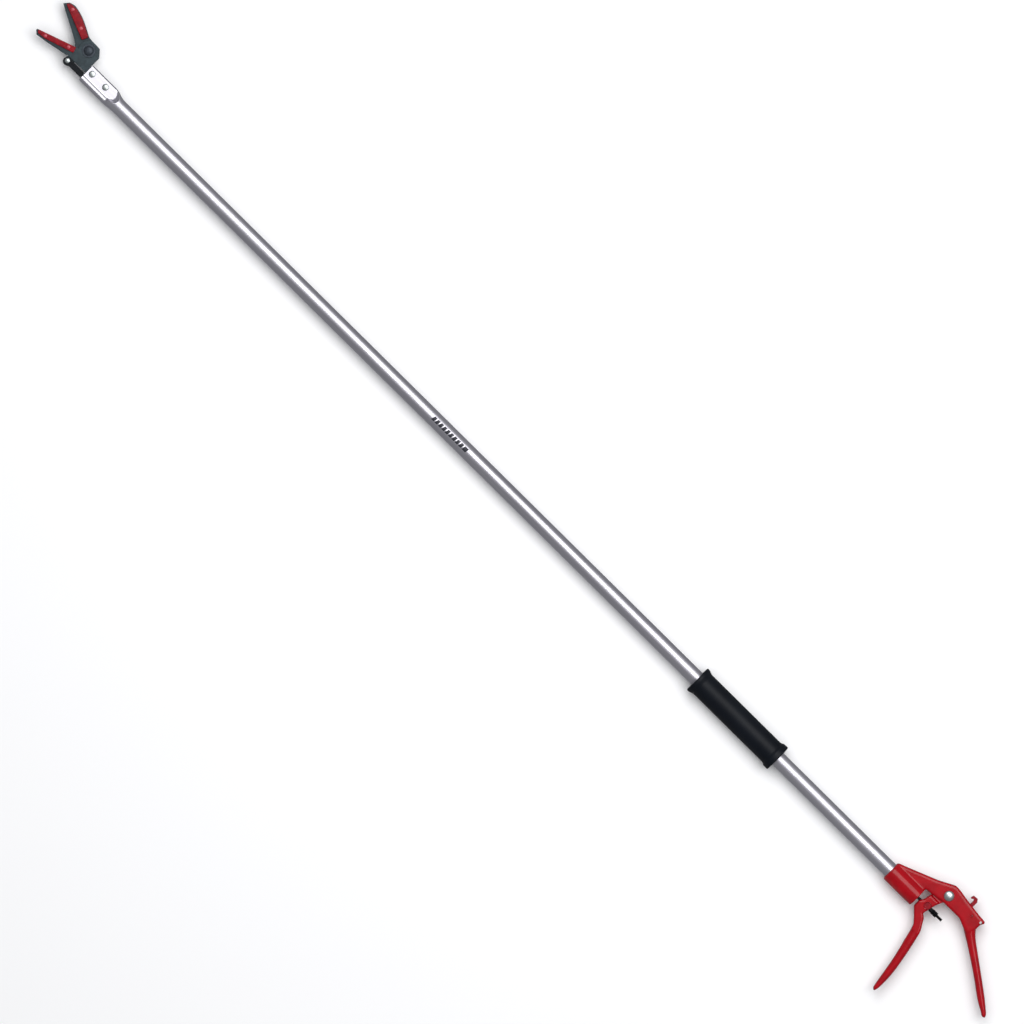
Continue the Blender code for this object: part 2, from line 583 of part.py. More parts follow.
def ring_piece(name, bore, radius, low, high, finish):
    """A plain ring on the tube's axis."""
    return turned(name, [(radius, high), (radius, low), (bore, low), (bore, high)], PRUNER, finish,
                  along="X", steps=24, ring=True)


def make_guides():
    """Nylon guides that keep the rod in the middle of the tube."""
    first, last = SLEEVE_X - 180 * MM, COLLAR_X + 180 * MM
    for index in range(GUIDE_COUNT):
        place = first + (last - first) * index / (GUIDE_COUNT - 1)
        ring_piece(f"rod_guide_{index + 1}", ROD_HOLE, TUBE_BORE - GAP, place - GUIDE_LENGTH / 2,
                   place + GUIDE_LENGTH / 2, NYLON)


def make_spring():
    """The opening spring, between its seat in the tube's end and the collar on the rod."""
    seat = ring_piece("spring_seat", ROD_HOLE, TUBE_BORE - GAP, SEAT_X, SPRING_X, NYLON)
    drill(seat, "seat_screw", SCREW_RADIUS + GAP, [(SEAT_X + SEAT_LENGTH / 2, 0, 0)], -SOCKET_RADIUS,
          -TUBE_BORE / 2, PRUNER, sides=16)
    curve = bpy.data.curves.new("return_spring", "CURVE")
    curve.dimensions = "3D"
    curve.bevel_depth = SPRING_WIRE
    curve.bevel_resolution = 2
    curve.use_fill_caps = True
    spline = curve.splines.new("POLY")
    per_turn = 12
    count = SPRING_TURNS * per_turn
    spline.points.add(count)
    low = SPRING_X + SPRING_WIRE + GAP
    rise = SPRING_LENGTH - 2 * (SPRING_WIRE + GAP)
    for i, point in enumerate(spline.points):
        turn = i / per_turn
        share = min(max((turn - 0.75) / (SPRING_TURNS - 1.5), 0.0), 1.0)
        closing = 2.3 * SPRING_WIRE * (min(turn, 0.75) + max(0.0, turn - (SPRING_TURNS - 0.75)))
        open_rise = rise - 2.3 * SPRING_WIRE * 1.5
        angle = 2 * math.pi * turn
        point.co = (low + closing + share * open_rise, SPRING_RADIUS * math.cos(angle),
                    SPRING_RADIUS * math.sin(angle), 1)
    piece("return_spring", meshed(curve), PRUNER, SPRING_STEEL)


# ---------------------------------------------------------------- grip
def make_grip():
    """The rubber sleeve that the forward hand holds, with a flange at each end."""
    start = SOCKET_MOUTH.x + GRIP_FROM_SOCKET
    end = start + GRIP_LENGTH
    bore = TUBE_RADIUS + GAP
    flange, body = GRIP_FLANGE, GRIP_RADIUS
    profile = [(flange - 1.5 * MM, end), (flange, end - 1.5 * MM), (flange - 0.5 * MM, end - 3.5 * MM),
               (body, end - 9.0 * MM), (body, start + 10.5 * MM), (flange - 0.6 * MM, start + 8.0 * MM),
               (flange, start + 6.5 * MM), (flange, start + 1.5 * MM), (flange - 1.5 * MM, start),
               (bore, start), (bore, end)]
    turned("grip_sleeve", profile, PRUNER, GRIP_RUBBER, along="X", steps=40, ring=True)


# ---------------------------------------------------------------- handle
def from_pivot(*points):
    """Millimetre points measured from the trigger's pivot, as places in the handle's frame."""
    return moved(mm(*points), TRIGGER_PIVOT)


def hub_floor(radius, below):
    """Angle at which a circle about the trigger's pivot passes a line below the pivot."""
    return math.degrees(math.asin(below / radius))


def make_handle():
    """The die-cast handle: tube socket, slotted body and the fixed lever in one piece."""
    inside = -SOCKET_RADIUS * 0.62
    rear = -SOCKET_DEPTH - SOCKET_END_WALL
    body = [(-1.5 * MM, inside), (rear, inside), (rear, -SOCKET_RADIUS - 0.3 * MM)]
    body += from_pivot((18.0, 14.4), (-1.0, 11.2, 8), (-31.0, 11.2, 8), (-43.0, 16.4, 6), (-52.0, 20.0),
                       (-56.0, 8.0), (-56.0, -1.0, 2), (-59.0, -6.5, 1.5), (-57.0, -8.8, 1.5),
                       (-46.0, -10.0, 6), (-21.0, -13.2, 6), (-8.0, -15.6, 6), (2.0, -16.4, 8),
                       (24.0, -5.0, 20))
    body += [(-14.0 * MM, -SOCKET_RADIUS - 4.5 * MM, 20 * MM), (-1.5 * MM, -SOCKET_RADIUS + 0.2 * MM)]
    handle = plate("handle_body", rounded(body, 22.0), -HANDLE_HALF, HANDLE_HALF, HANDLE, RED_ENAMEL)
    inner = from_pivot((-40.0, 14.0), (-43.0, 16.2), (-66.0, 30.6), (-95.8, 50.8), (-122.0, 70.0),
                       (-136.0, 78.2))
    tip = from_pivot((-143.0, 82.6), (-146.0, 82.4), (-147.0, 79.0))
    outer = from_pivot((-145.0, 76.6), (-125.6, 60.4), (-95.8, 38.3), (-66.0, 17.1), (-54.0, 6.0),
                       (-46.0, 2.0))
    lever = plate("join_lever", flowing(inner, 3) + tip + flowing(outer, 3), -LEVER_HALF, LEVER_HALF, HANDLE)
    combine(handle, lever, "UNION")
    front = 0.0
    lip = 2.5 * MM
    socket = turned("join_socket", [(0, front), (SOCKET_RADIUS - lip, front),
                                    (SOCKET_RADIUS - 0.3 * lip, front - 0.35 * lip),
                                    (SOCKET_RADIUS, front - lip), (SOCKET_RADIUS, rear), (0, rear)],
                    HANDLE, None, along="X", steps=48)
    combine(handle, socket, "UNION")
    combine(handle, rod("cut_socket_bore", TUBE_RADIUS + GAP, -SOCKET_DEPTH, SOCKET_DEPTH, HANDLE,
                        along="X", sides=48))
    combine(handle, rod("cut_rod_way", ROD_HOLE + GAP, rear - 5 * MM, 0, HANDLE, along="X", sides=20))
    combine(handle, plate("cut_trigger_slot", trigger_slot(), -SLOT_HALF, SLOT_HALF, HANDLE))
    combine(handle, plate("cut_hook_way", hook_way(), -SLOT_HALF, SLOT_HALF, HANDLE))
    deep = 2 * HANDLE_HALF
    drill(handle, "trigger_bolt", TRIGGER_BOLT_RADIUS + GAP, [TRIGGER_PIVOT], -deep, deep, HANDLE)
    drill(handle, "lock_pin", LOCK_PIN_RADIUS + GAP, [(*lock_pin_place(), 0)], -deep, deep, HANDLE, sides=16)
    drill(handle, "lanyard", 2.0 * MM, [(*from_pivot((-54.6, -4.2))[0], 0)], -deep, deep, HANDLE, sides=16)
    screw_x = SEAT_X + SEAT_LENGTH / 2 - SOCKET_MOUTH.x
    drill(handle, "socket_screw", SCREW_RADIUS + GAP, [(screw_x, 0, 0)], -2 * SOCKET_RADIUS, -TUBE_BORE / 2,
          HANDLE, sides=16)


def trigger_slot():
    """Outline of the slot in the casting that the trigger's hub and the lock slide work in."""
    floor_y, pocket_y = -6.2, -9.6
    pocket = 12.8 * MM
    corners = from_pivot((20.5, 36.0), (-34.0, 36.0), (-34.0, 8.0, 2), (-40.0, 3.5, 1), (-50.4, 3.5),
                         (-50.4, floor_y), (-19.2, floor_y), (-18.0, pocket_y))
    start = 180.0 + hub_floor(pocket, -pocket_y * MM)
    curve = arc(TRIGGER_PIVOT, pocket, start, 346.0)
    front = from_pivot((20.5, 18.0))
    return rounded(corners) + curve + front


def hook_way():
    """Outline of the opening in the casting's back that the lock's thumb hook stands through."""
    low, high = -33.5 * MM, -27.7 * MM + LOCK_TRAVEL + 0.8 * MM
    top, bottom = -5.0 * MM, -20.0 * MM
    return moved([(low, top), (low, bottom), (high, bottom), (high, top)], TRIGGER_PIVOT)


def lock_pin_place():
    """Where the lock slide's guide pin crosses the casting."""
    return from_pivot((-40.0, -2.4))[0]


def make_trigger():
    """The front lever: hub, neck, fork round the trunnion, and the grip."""
    tail, tail_half = 16.5 * MM, 7.0
    centre = (0, 0)
    neck = mm((18.0, 15.5), (18.6, 19.0), (2.6, 19.0), (0.4, 13.5))
    hub = arc(centre, HUB_RADIUS, 95.0, 159.5 - tail_half)
    hub += arc(centre, tail, 159.5 - tail_half, 159.5 + tail_half, 7.0)
    hub += arc(centre, HUB_RADIUS, 159.5 + tail_half, 349.0)
    lever = plate("trigger_lever", neck + hub, -TRIGGER_NECK_HALF, TRIGGER_NECK_HALF, TRIGGER, RED_ENAMEL)
    front = moved(mm((3.2, 22.0), (-3.9, 30.0), (-8.9, 49.0), (-16.4, 80.0), (-23.4, 121.0)), TRUNNION)
    tip = moved(mm((-25.3, 127.5), (-28.0, 129.6), (-30.4, 127.0)), TRUNNION)
    rear = moved(mm((-30.6, 119.0), (-30.4, 101.0), (-27.9, 80.0), (-21.9, 49.0), (-16.9, 30.0),
                    (-8.2, 15.2)), TRUNNION)
    nose = mm((18.0, 15.5)) + moved(mm((9.1, -3.0, 3), (13.1, 2.0, 3), (13.1, 12.0, 4)), TRUNNION) + front[:1]
    notch = rear[-1:] + moved(mm((-2.8, 11.0, 0.8), (-6.0, -3.0, 3)), TRUNNION) + mm((1.6, 15.5))
    outline = rounded(nose)[:-1] + flowing(front, 3) + tip + flowing(rear, 3)[:-1] + rounded(notch)
    grip = plate("join_grip", outline, -LEVER_HALF, LEVER_HALF, TRIGGER)
    combine(lever, grip, "UNION")
    pocket = moved(mm((16.1, 3.8), (3.6, 5.6), (-1.3, 7.9), (-5.4, 11.5), (-12.0, 11.5), (-12.0, -2.8),
                      (-5.5, -4.6), (-0.4, -6.5), (3.1, -6.5), (8.6, -9.4), (11.4, -12.0)), TRUNNION)
    combine(lever, plate("cut_fork", pocket, -POCKET_HALF, POCKET_HALF, TRIGGER))
    deep = 2 * LEVER_HALF
    drill(lever, "trunnion", TRUNNION_RADIUS + GAP, [TRUNNION], -deep, deep, TRIGGER)
    drill(lever, "trigger_hub", TRIGGER_BOLT_RADIUS + GAP, [(0, 0, 0)], -deep, deep, TRIGGER)


def make_trigger_bolt():
    """The bolt that the trigger turns on, with its locking nut."""
    place = TRIGGER_PIVOT
    seat = HANDLE_HALF + GAP
    head, radius = 3.8 * MM, TRIGGER_BOLT_HEAD
    nut = 6.5 * MM
    turned("trigger_bolt",
           [(0, seat + head), (0.4 * radius, seat + 0.93 * head), (0.75 * radius, seat + 0.66 * head),
            (0.95 * radius, seat + 0.3 * head), (radius, seat), (TRIGGER_BOLT_RADIUS, seat),
            (TRIGGER_BOLT_RADIUS, -seat - nut), (0, -seat - nut)], HANDLE, ZINC, place)
    fixed = rod("trigger_nut", 7.5 * MM, -seat - nut, -seat, HANDLE, ZINC, place, sides=6)
    drill(fixed, "trigger_nut", TRIGGER_BOLT_RADIUS + GAP, [place], -2 * (seat + nut), 0, HANDLE)


def make_trunnion():
    """The cross pin in the trigger's fork; the rod passes through its slotted hole."""
    trunnion = rod("rod_trunnion", TRUNNION_RADIUS, -LEVER_HALF + GAP, LEVER_HALF - GAP, TRIGGER, DARK_RED,
                   TRUNNION)
    half = ROD_HOLE
    reach = ROD_HOLE + CRANK_RISE
    wide = 2 * TRUNNION_RADIUS
    slot = plate("cut_trunnion", rounded([(half, -reach, half), (half, reach, half), (-half, reach, half),
                                          (-half, -reach, half)]), -wide, wide, TRIGGER, location=TRUNNION)
    slot.rotation_euler = (0, math.radians(90), 0)
    combine(trunnion, slot)


def make_lock():
    """The lock slide with its thumb hook, and the pin that guides it."""
    corners = from_pivot((-50.0, 3.0, 1), (-50.0, -5.8, 1), (-32.7, -5.8), (-32.7, -20.0, 3),
                         (-30.0, -24.0, 2), (-23.5, -23.4, 1.5), (-22.0, -18.6, 1), (-24.6, -18.4, 1),
                         (-26.0, -20.4, 1), (-27.7, -18.5, 1), (-27.7, -2.0), (-19.0, -2.0, 0.8),
                         (-19.0, 2.0, 0.8), (-34.5, 2.0), (-34.5, 3.0))
    half = SLOT_HALF - SLIDE_GAP
    slide = plate("lock_slide", rounded(corners), -half, half, HANDLE, DARK_RED)
    pin = lock_pin_place()
    reach = LOCK_PIN_RADIUS + GAP
    back, ahead = pin[0] - LOCK_TRAVEL - reach, pin[0] + reach
    window = [(back, pin[1] - reach, reach), (ahead, pin[1] - reach, reach), (ahead, pin[1] + reach, reach),
              (back, pin[1] + reach, reach)]
    combine(slide, plate("cut_lock_window", rounded(window), -2 * half, 2 * half, HANDLE))
    rod("lock_slide_pin", LOCK_PIN_RADIUS, -HANDLE_HALF, HANDLE_HALF, HANDLE, ZINC, (*pin, 0), sides=16)


def make_socket_screw():
    """The screw that holds the socket, the tube and the spring seat together."""
    head = 3.5 * MM
    low = -SOCKET_RADIUS - GAP
    tip = -TUBE_BORE * 0.62
    turned("socket_screw", [(0, tip), (SCREW_RADIUS, tip), (SCREW_RADIUS, low), (head, low),
                            (head, low - 1.4 * MM), (0.6 * head, low - 2.2 * MM), (0, low - 2.2 * MM)],
           PRUNER, ZINC, (SEAT_X + SEAT_LENGTH / 2, 0, 0), steps=16)


# ---------------------------------------------------------------- whole pruner
def stand_on_origin():
    """Move everything so that the origin is the bottom centre of the bounding box."""
    bpy.context.view_layer.update()
    graph = bpy.context.evaluated_depsgraph_get()
    low, high = Vector((math.inf,) * 3), Vector((-math.inf,) * 3)
    for part in PARTS.objects:
        if part.type != "MESH":
            continue
        solid = part.evaluated_get(graph)
        for corner in solid.bound_box:
            place = solid.matrix_world @ Vector(corner)
            low = Vector(map(min, low, place))
            high = Vector(map(max, high, place))
    PRUNER.location = (-(low.x + high.x) / 2, -(low.y + high.y) / 2, -low.z)


make_tube()
make_tube_rivets()
make_head_plate()
make_fixed_holder()
crank_eye = make_moving_blade()
make_moving_holder()
make_head_bolt()
make_link_pin(crank_eye)
make_link_bar()
make_rod()
make_guides()
make_spring()
make_grip()
make_handle()
make_trigger()
make_trigger_bolt()
make_trunnion()
make_lock()
make_socket_screw()
stand_on_origin()
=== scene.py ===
"""Looks of the long-reach cut-and-hold pruner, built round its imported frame.

Every piece is made in the frame's own coordinates, in metres: +X runs along the tube towards the
jaws, +Y towards the side the levers stand out on, and +Z up through the castings.
"""

from __future__ import annotations

import json
import logging
import math
from collections.abc import Callable, Sequence
from dataclasses import dataclass, field
from enum import Enum

import bmesh
import bpy
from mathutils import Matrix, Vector


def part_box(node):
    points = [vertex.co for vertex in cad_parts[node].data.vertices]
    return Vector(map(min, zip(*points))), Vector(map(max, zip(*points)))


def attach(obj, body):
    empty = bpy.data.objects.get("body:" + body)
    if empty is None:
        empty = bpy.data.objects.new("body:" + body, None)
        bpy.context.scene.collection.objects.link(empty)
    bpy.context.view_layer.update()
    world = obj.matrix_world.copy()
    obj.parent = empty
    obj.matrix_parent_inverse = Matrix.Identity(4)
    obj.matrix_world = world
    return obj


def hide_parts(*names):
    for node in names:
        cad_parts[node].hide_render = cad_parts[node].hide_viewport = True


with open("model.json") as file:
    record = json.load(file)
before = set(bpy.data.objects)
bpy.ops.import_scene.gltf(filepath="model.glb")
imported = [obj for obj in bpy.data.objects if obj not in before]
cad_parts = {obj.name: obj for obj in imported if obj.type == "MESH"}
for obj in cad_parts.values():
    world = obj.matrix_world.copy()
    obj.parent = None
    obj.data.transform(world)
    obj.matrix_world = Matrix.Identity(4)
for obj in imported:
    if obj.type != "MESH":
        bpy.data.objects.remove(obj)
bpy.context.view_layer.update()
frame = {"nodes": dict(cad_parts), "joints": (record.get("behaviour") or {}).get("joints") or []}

MM = 0.001
LOG = logging.getLogger("pruner")

Point = tuple[float, float]
Ring = list[Vector]


class Slot(Enum):
    """The record's material slots."""

    RED = "red_enamel"
    DARK_RED = "dark_red_enamel"
    TUBE = "tube_aluminium"
    RUBBER = "grip_rubber"
    COATED = "coated_steel"
    BLACK = "black_steel"
    ZINC = "zinc_steel"
    NYLON = "nylon"
    SPRING = "spring_steel"


class Body(Enum):
    """The frame's moving bodies."""

    POLE = "pole"
    GRIP = "grip"
    TRIGGER = "trigger"
    TRUNNION = "trunnion"
    ROD = "rod"
    BLADE = "blade"
    LOCK = "lock"


# ---------------------------------------------------------------- colour and shader nodes
def linear(colour: str) -> tuple[float, float, float, float]:
    """Turn an sRGB hex colour to linear light.

    Args:
        colour: six hex digits, such as "B00C1C".

    Returns:
        Red, green, blue and alpha for a shader socket.
    """
    values = [int(colour[i:i + 2], 16) / 255 for i in (0, 2, 4)]
    red, green, blue = (v / 12.92 if v <= 0.04045 else ((v + 0.055) / 1.055) ** 2.4 for v in values)
    return red, green, blue, 1.0


def add_node(tree: bpy.types.NodeTree, kind: str, settings: dict | None = None,
             links: dict | None = None) -> bpy.types.Node:
    """Add a node with its settings and its incoming links.

    Args:
        tree: the material's node tree.
        kind: the node's type name.
        settings: node attributes, or input sockets' values by name or index.
        links: output sockets to join to this node's inputs, by name or index.

    Returns:
        The node.
    """
    node = tree.nodes.new(kind)
    for key, value in (settings or {}).items():
        if isinstance(key, str) and hasattr(node, key):
            setattr(node, key, value)
        else:
            node.inputs[key].default_value = value
    for key, socket in (links or {}).items():
        tree.links.new(socket, node.inputs[key])
    return node


@dataclass(frozen=True)
class Finish:
    """A surface finish: what the material is and how it was made, as shader values.

    Sizes of patterns are in millimetres on the real piece.
    """

    name: str
    slot: Slot
    colour: str
    shade: str
    roughness: float
    rough_spread: float = 0.05
    metallic: float = 0.0
    cloud_mm: float = 12.0
    grain_mm: float = 0.8
    grain_height_mm: float = 0.01
    stretch: float = 1.0
    coat: float = 0.0
    coat_roughness: float = 0.05
    anisotropic: float = 0.0
    specular: float = 0.5

    def material(self) -> bpy.types.Material:
        """Build the finish as a node material, once.

        Returns:
            The material, shared by every piece with this finish.
        """
        known = bpy.data.materials.get(self.name)
        if known is not None:
            return known
        made = bpy.data.materials.new(self.name)
        made.use_nodes = True
        tree = made.node_tree
        shader = tree.nodes["Principled BSDF"]
        place = add_node(tree, "ShaderNodeTexCoord").outputs["Object"]
        drawn = add_node(tree, "ShaderNodeMapping", {"Scale": (1 / self.stretch, 1.0, 1.0)},
                         {"Vector": place}).outputs["Vector"]
        cloud = add_node(tree, "ShaderNodeTexNoise", {"Scale": 1 / (self.cloud_mm * MM), "Detail": 3.0},
                         {"Vector": drawn}).outputs["Fac"]
        grain = add_node(tree, "ShaderNodeTexNoise", {"Scale": 1 / (self.grain_mm * MM), "Detail": 2.0},
                         {"Vector": drawn}).outputs["Fac"]
        ramp = add_node(tree, "ShaderNodeMapRange", {"From Min": 0.3, "From Max": 0.7}, {"Value": cloud})
        colour = add_node(tree, "ShaderNodeMix", {"data_type": "RGBA", 6: linear(self.colour),
                                                  7: linear(self.shade)}, {0: ramp.outputs["Result"]})
        rough = add_node(tree, "ShaderNodeMapRange",
                         {"From Min": 0.3, "From Max": 0.7, "To Min": self.roughness - self.rough_spread,
                          "To Max": self.roughness + self.rough_spread}, {"Value": grain})
        bump = add_node(tree, "ShaderNodeBump", {"Strength": 1.0, "Distance": self.grain_height_mm * MM},
                        {"Height": grain})
        tree.links.new(colour.outputs[2], shader.inputs["Base Color"])
        tree.links.new(rough.outputs["Result"], shader.inputs["Roughness"])
        tree.links.new(bump.outputs["Normal"], shader.inputs["Normal"])
        shader.inputs["Metallic"].default_value = self.metallic
        shader.inputs["Coat Weight"].default_value = self.coat
        shader.inputs["Coat Roughness"].default_value = self.coat_roughness
        shader.inputs["Anisotropic"].default_value = self.anisotropic
        if self.metallic < 1.0:
            shader.inputs["Specular IOR Level"].default_value = self.specular
        return made


# Baked red enamel on a die casting: deep red under a clear gloss, with a slight orange peel.
ENAMELLED_CASTING = Finish("baked_enamel_on_casting", Slot.RED, "A80012", "94000F", 0.42, 0.05,
                           cloud_mm=14.0, grain_mm=2.2, grain_height_mm=0.012, coat=0.55,
                           coat_roughness=0.09, specular=0.08)
# The same enamel sprayed thin on pressed steel: darker, less gloss, edges slightly dry.
ENAMELLED_STEEL = Finish("sprayed_enamel_on_steel", Slot.DARK_RED, "930717", "700414", 0.42, 0.06,
                         cloud_mm=5.0, grain_mm=0.9, grain_height_mm=0.012, coat=0.22, coat_roughness=0.16,
                         specular=0.1)
# Rivets sprayed with their holder: the whole head is coloured a lighter pink than the holder, a painted
# highlight.
RIVET_ENAMEL_PAINTED_HIGHLIGHT = Finish("rivet_enamel_with_painted_highlight", Slot.DARK_RED, "C04A55", "9A2634", 0.34, 0.05,
                         cloud_mm=2.0, grain_mm=0.5, grain_height_mm=0.008, coat=0.6, coat_roughness=0.12,
                         specular=0.4)
# A steel pin sprayed over with the casting it is pressed into, so that it hardly shows.
OVERSPRAYED_PIN = Finish("oversprayed_steel_pin", Slot.ZINC, "8C0A16", "74060F", 0.45, 0.05,
                         cloud_mm=2.0, grain_mm=0.5, grain_height_mm=0.008, coat=0.3, coat_roughness=0.15,
                         specular=0.2)
# Drawn aluminium tube, clear anodised: satin silver with fine lines along the tube.
ANODISED_TUBE = Finish("anodised_drawn_aluminium", Slot.TUBE, "E8E6ED", "D8D5DF", 0.40, 0.04, metallic=1.0,
                       cloud_mm=3.0, grain_mm=0.5, grain_height_mm=0.0015, stretch=60.0, anisotropic=0.3)
# Moulded rubber sleeve: near black with a faint blue bloom and a fine spark-eroded texture.
MOULDED_RUBBER = Finish("moulded_rubber", Slot.RUBBER, "060A12", "0B1018", 0.50, 0.07, cloud_mm=25.0,
                        grain_mm=0.7, grain_height_mm=0.03, specular=0.22)
# Steel plate with a fluoropolymer coating: dark grey-green, smooth but dull.
COATED_STEEL = Finish("fluoropolymer_coated_steel", Slot.COATED, "2C3A40", "202B30", 0.42, 0.06,
                      metallic=0.5, cloud_mm=6.0, grain_mm=0.6, grain_height_mm=0.008, coat=0.15,
                      coat_roughness=0.25)
# The blade's ground edge: bare steel with fine grinding lines.
GROUND_STEEL = Finish("ground_steel", Slot.COATED, "9AA4A6", "7F898C", 0.28, 0.06, metallic=1.0,
                      cloud_mm=2.0, grain_mm=0.25, grain_height_mm=0.006)
# Chemically blackened steel: almost black with an oily sheen.
BLACKENED_STEEL = Finish("blackened_steel", Slot.BLACK, "15181D", "0D0F13", 0.38, 0.07, metallic=0.75,
                         cloud_mm=5.0, grain_mm=0.5, grain_height_mm=0.008)
# Phosphated fasteners: the crystals make them greyer and duller than blackened steel.
PHOSPHATED_STEEL = Finish("phosphated_steel", Slot.BLACK, "454C54", "343A42", 0.46, 0.06, metallic=0.6,
                          cloud_mm=3.0, grain_mm=0.4, grain_height_mm=0.008)
# Bright zinc plate: pale blue-white metal, slightly frosted.
ZINC_PLATE = Finish("bright_zinc_plate", Slot.ZINC, "D6DCDB", "BEC5C5", 0.36, 0.05, metallic=1.0,
                    cloud_mm=3.0, grain_mm=0.4, grain_height_mm=0.003)
# Natural moulded nylon: milky off-white, faintly waxy.
MOULDED_NYLON = Finish("moulded_nylon", Slot.NYLON, "DAD7C8", "CBC8B8", 0.48, 0.05, cloud_mm=8.0,
                       grain_mm=0.8, grain_height_mm=0.01)
# Drawn spring wire: grey steel with a light oil film.
DRAWN_WIRE = Finish("drawn_spring_wire", Slot.SPRING, "8D9093", "777A7D", 0.3, 0.05, metallic=1.0,
                    cloud_mm=4.0, grain_mm=0.4, grain_height_mm=0.005)
# Pad-printed ink on the tube: flat and dark, a touch of violet.
PRINTED_INK = Finish("pad_printed_ink", Slot.BLACK, "15161F", "20222E", 0.5, 0.05, cloud_mm=3.0,
                     grain_mm=0.3, grain_height_mm=0.002)


# ---------------------------------------------------------------- outlines
def mm(*points: Sequence[float]) -> list[tuple]:
    """Turn points given in millimetres to metres."""
    return [tuple(value * MM for value in point) for point in points]


def moved(points: Sequence[Sequence[float]], origin: Sequence[float]) -> list[tuple]:
    """Carry outline points to an origin; a third value, a corner's radius, stays."""
    return [(p[0] + origin[0], p[1] + origin[1], *p[2:]) for p in points]


def swung(points: Sequence[Sequence[float]], angle: float) -> list[tuple]:
    """Turn outline points about the origin by an angle in radians."""
    cos, sin = math.cos(angle), math.sin(angle)
    return [(p[0] * cos - p[1] * sin, p[0] * sin + p[1] * cos, *p[2:]) for p in points]


def arc(centre: Sequence[float], radius: float, start_deg: float, end_deg: float,
        step_deg: float = 5.0) -> list[Point]:
    """Points on an arc, both ends included.

    Args:
        centre: the arc's centre.
        radius: its radius.
        start_deg: angle of the first point.
        end_deg: angle of the last point.
        step_deg: largest step between points.

    Returns:
        The points.
    """
    count = max(1, math.ceil(abs(end_deg - start_deg) / step_deg))
    angles = [math.radians(start_deg + (end_deg - start_deg) * i / count) for i in range(count + 1)]
    return [(centre[0] + radius * math.cos(a), centre[1] + radius * math.sin(a)) for a in angles]


def rounded(corners: Sequence[Sequence[float]], step_deg: float = 8.0) -> list[Point]:
    """Replace an outline's corners (x, y, radius) by arcs; no radius keeps a corner sharp.

    Args:
        corners: the outline's corners in order.
        step_deg: largest turn between two points of an arc.

    Returns:
        The outline's points.
    """
    outline: list[Point] = []
    for index, corner in enumerate(corners):
        here = Vector(corner[:2])
        radius = corner[2] if len(corner) > 2 else 0.0
        back = Vector(corners[index - 1][:2]) - here
        ahead = Vector(corners[(index + 1) % len(corners)][:2]) - here
        turn = math.pi - back.angle(ahead)
        if radius == 0.0 or turn < 0.02:
            outline.append((here.x, here.y))
            continue
        room = 0.48 * min(back.length, ahead.length)
        radius *= min(1.0, room / (radius * math.tan(turn / 2)))
        centre = here + (back.normalized() + ahead.normalized()).normalized() * radius / math.cos(turn / 2)
        first = here + back.normalized() * radius * math.tan(turn / 2) - centre
        side = 1.0 if back.cross(ahead) < 0 else -1.0
        count = max(1, math.ceil(math.degrees(turn) / step_deg))
        for i in range(count + 1):
            angle = math.atan2(first.y, first.x) + side * turn * i / count
            outline.append((centre.x + radius * math.cos(angle), centre.y + radius * math.sin(angle)))
    return outline


def flowing(points: Sequence[Sequence[float]], steps: int = 6) -> list[tuple]:
    """A smooth line through points of any number of values (Catmull-Rom).

    Args:
        points: the points to pass through.
        steps: pieces between two points.

    Returns:
        The line's points.
    """
    ends = [points[0], *points, points[-1]]
    line = []
    for i in range(1, len(ends) - 2):
        for k in range(steps):
            t = k / steps
            line.append(tuple(
                p1 + 0.5 * t * ((p2 - p0) + t * ((2 * p0 - 5 * p1 + 4 * p2 - p3)
                                                 + t * (3 * (p1 - p2) + p3 - p0)))
                for p0, p1, p2, p3 in zip(*ends[i - 1:i + 3])))
    line.append(tuple(points[-1]))
    return line


def wound(loop: Sequence[Point], anticlockwise: bool) -> list[Point]:
    """Give a loop its winding: anticlockwise for an outline, clockwise for a hole."""
    area = sum(a[0] * b[1] - b[0] * a[1] for a, b in zip(loop, [*loop[1:], loop[0]]))
    return list(loop) if (area > 0) == anticlockwise else list(reversed(loop))


def smooth(share: float) -> float:
    """An ease from 0 to 1."""
    share = min(1.0, max(0.0, share))
    return share * share * (3 - 2 * share)


def soft_max(a: float, b: float, blend: float) -> float:
    """The larger of two lengths, with a fillet where they are nearly equal."""
    share = max(blend - abs(a - b), 0.0) / blend
    return max(a, b) + share * share * blend / 4


# ---------------------------------------------------------------- meshes
def finished(name: str, mesh: bpy.types.Mesh, finish: Finish, body: Body, *nodes: str,
             sharp_deg: float = 35.0, crease: bool = True) -> bpy.types.Object:
    """Turn a mesh into a dressed object that rides on a body.

    Args:
        name: the object's name.
        mesh: its shape, in frame coordinates.
        finish: its surface finish.
        body: the body it rides on.
        nodes: CAD nodes that it takes the place of.
        sharp_deg: edges that turn by more than this are shaded sharp.
        crease: keep flat faces flat in the shading beside rounded edges.

    Returns:
        The object.
    """
    made = bpy.data.objects.new(name, mesh)
    bpy.context.scene.collection.objects.link(made)
    mesh.materials.clear()
    mesh.materials.append(finish.material())
    mesh.shade_smooth()
    mesh.set_sharp_from_angle(angle=math.radians(sharp_deg))
    if crease:
        weighted = made.modifiers.new("flat faces", "WEIGHTED_NORMAL")
        weighted.keep_sharp = True
    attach(made, body.value)
    if nodes:
        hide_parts(*nodes)
    return made


def mesh_of(name: str, shape: bmesh.types.BMesh) -> bpy.types.Mesh:
    """Turn a bmesh into a mesh with its faces facing out, and free it."""
    bmesh.ops.recalc_face_normals(shape, faces=shape.faces)
    mesh = bpy.data.meshes.new(name)
    shape.to_mesh(mesh)
    shape.free()
    return mesh


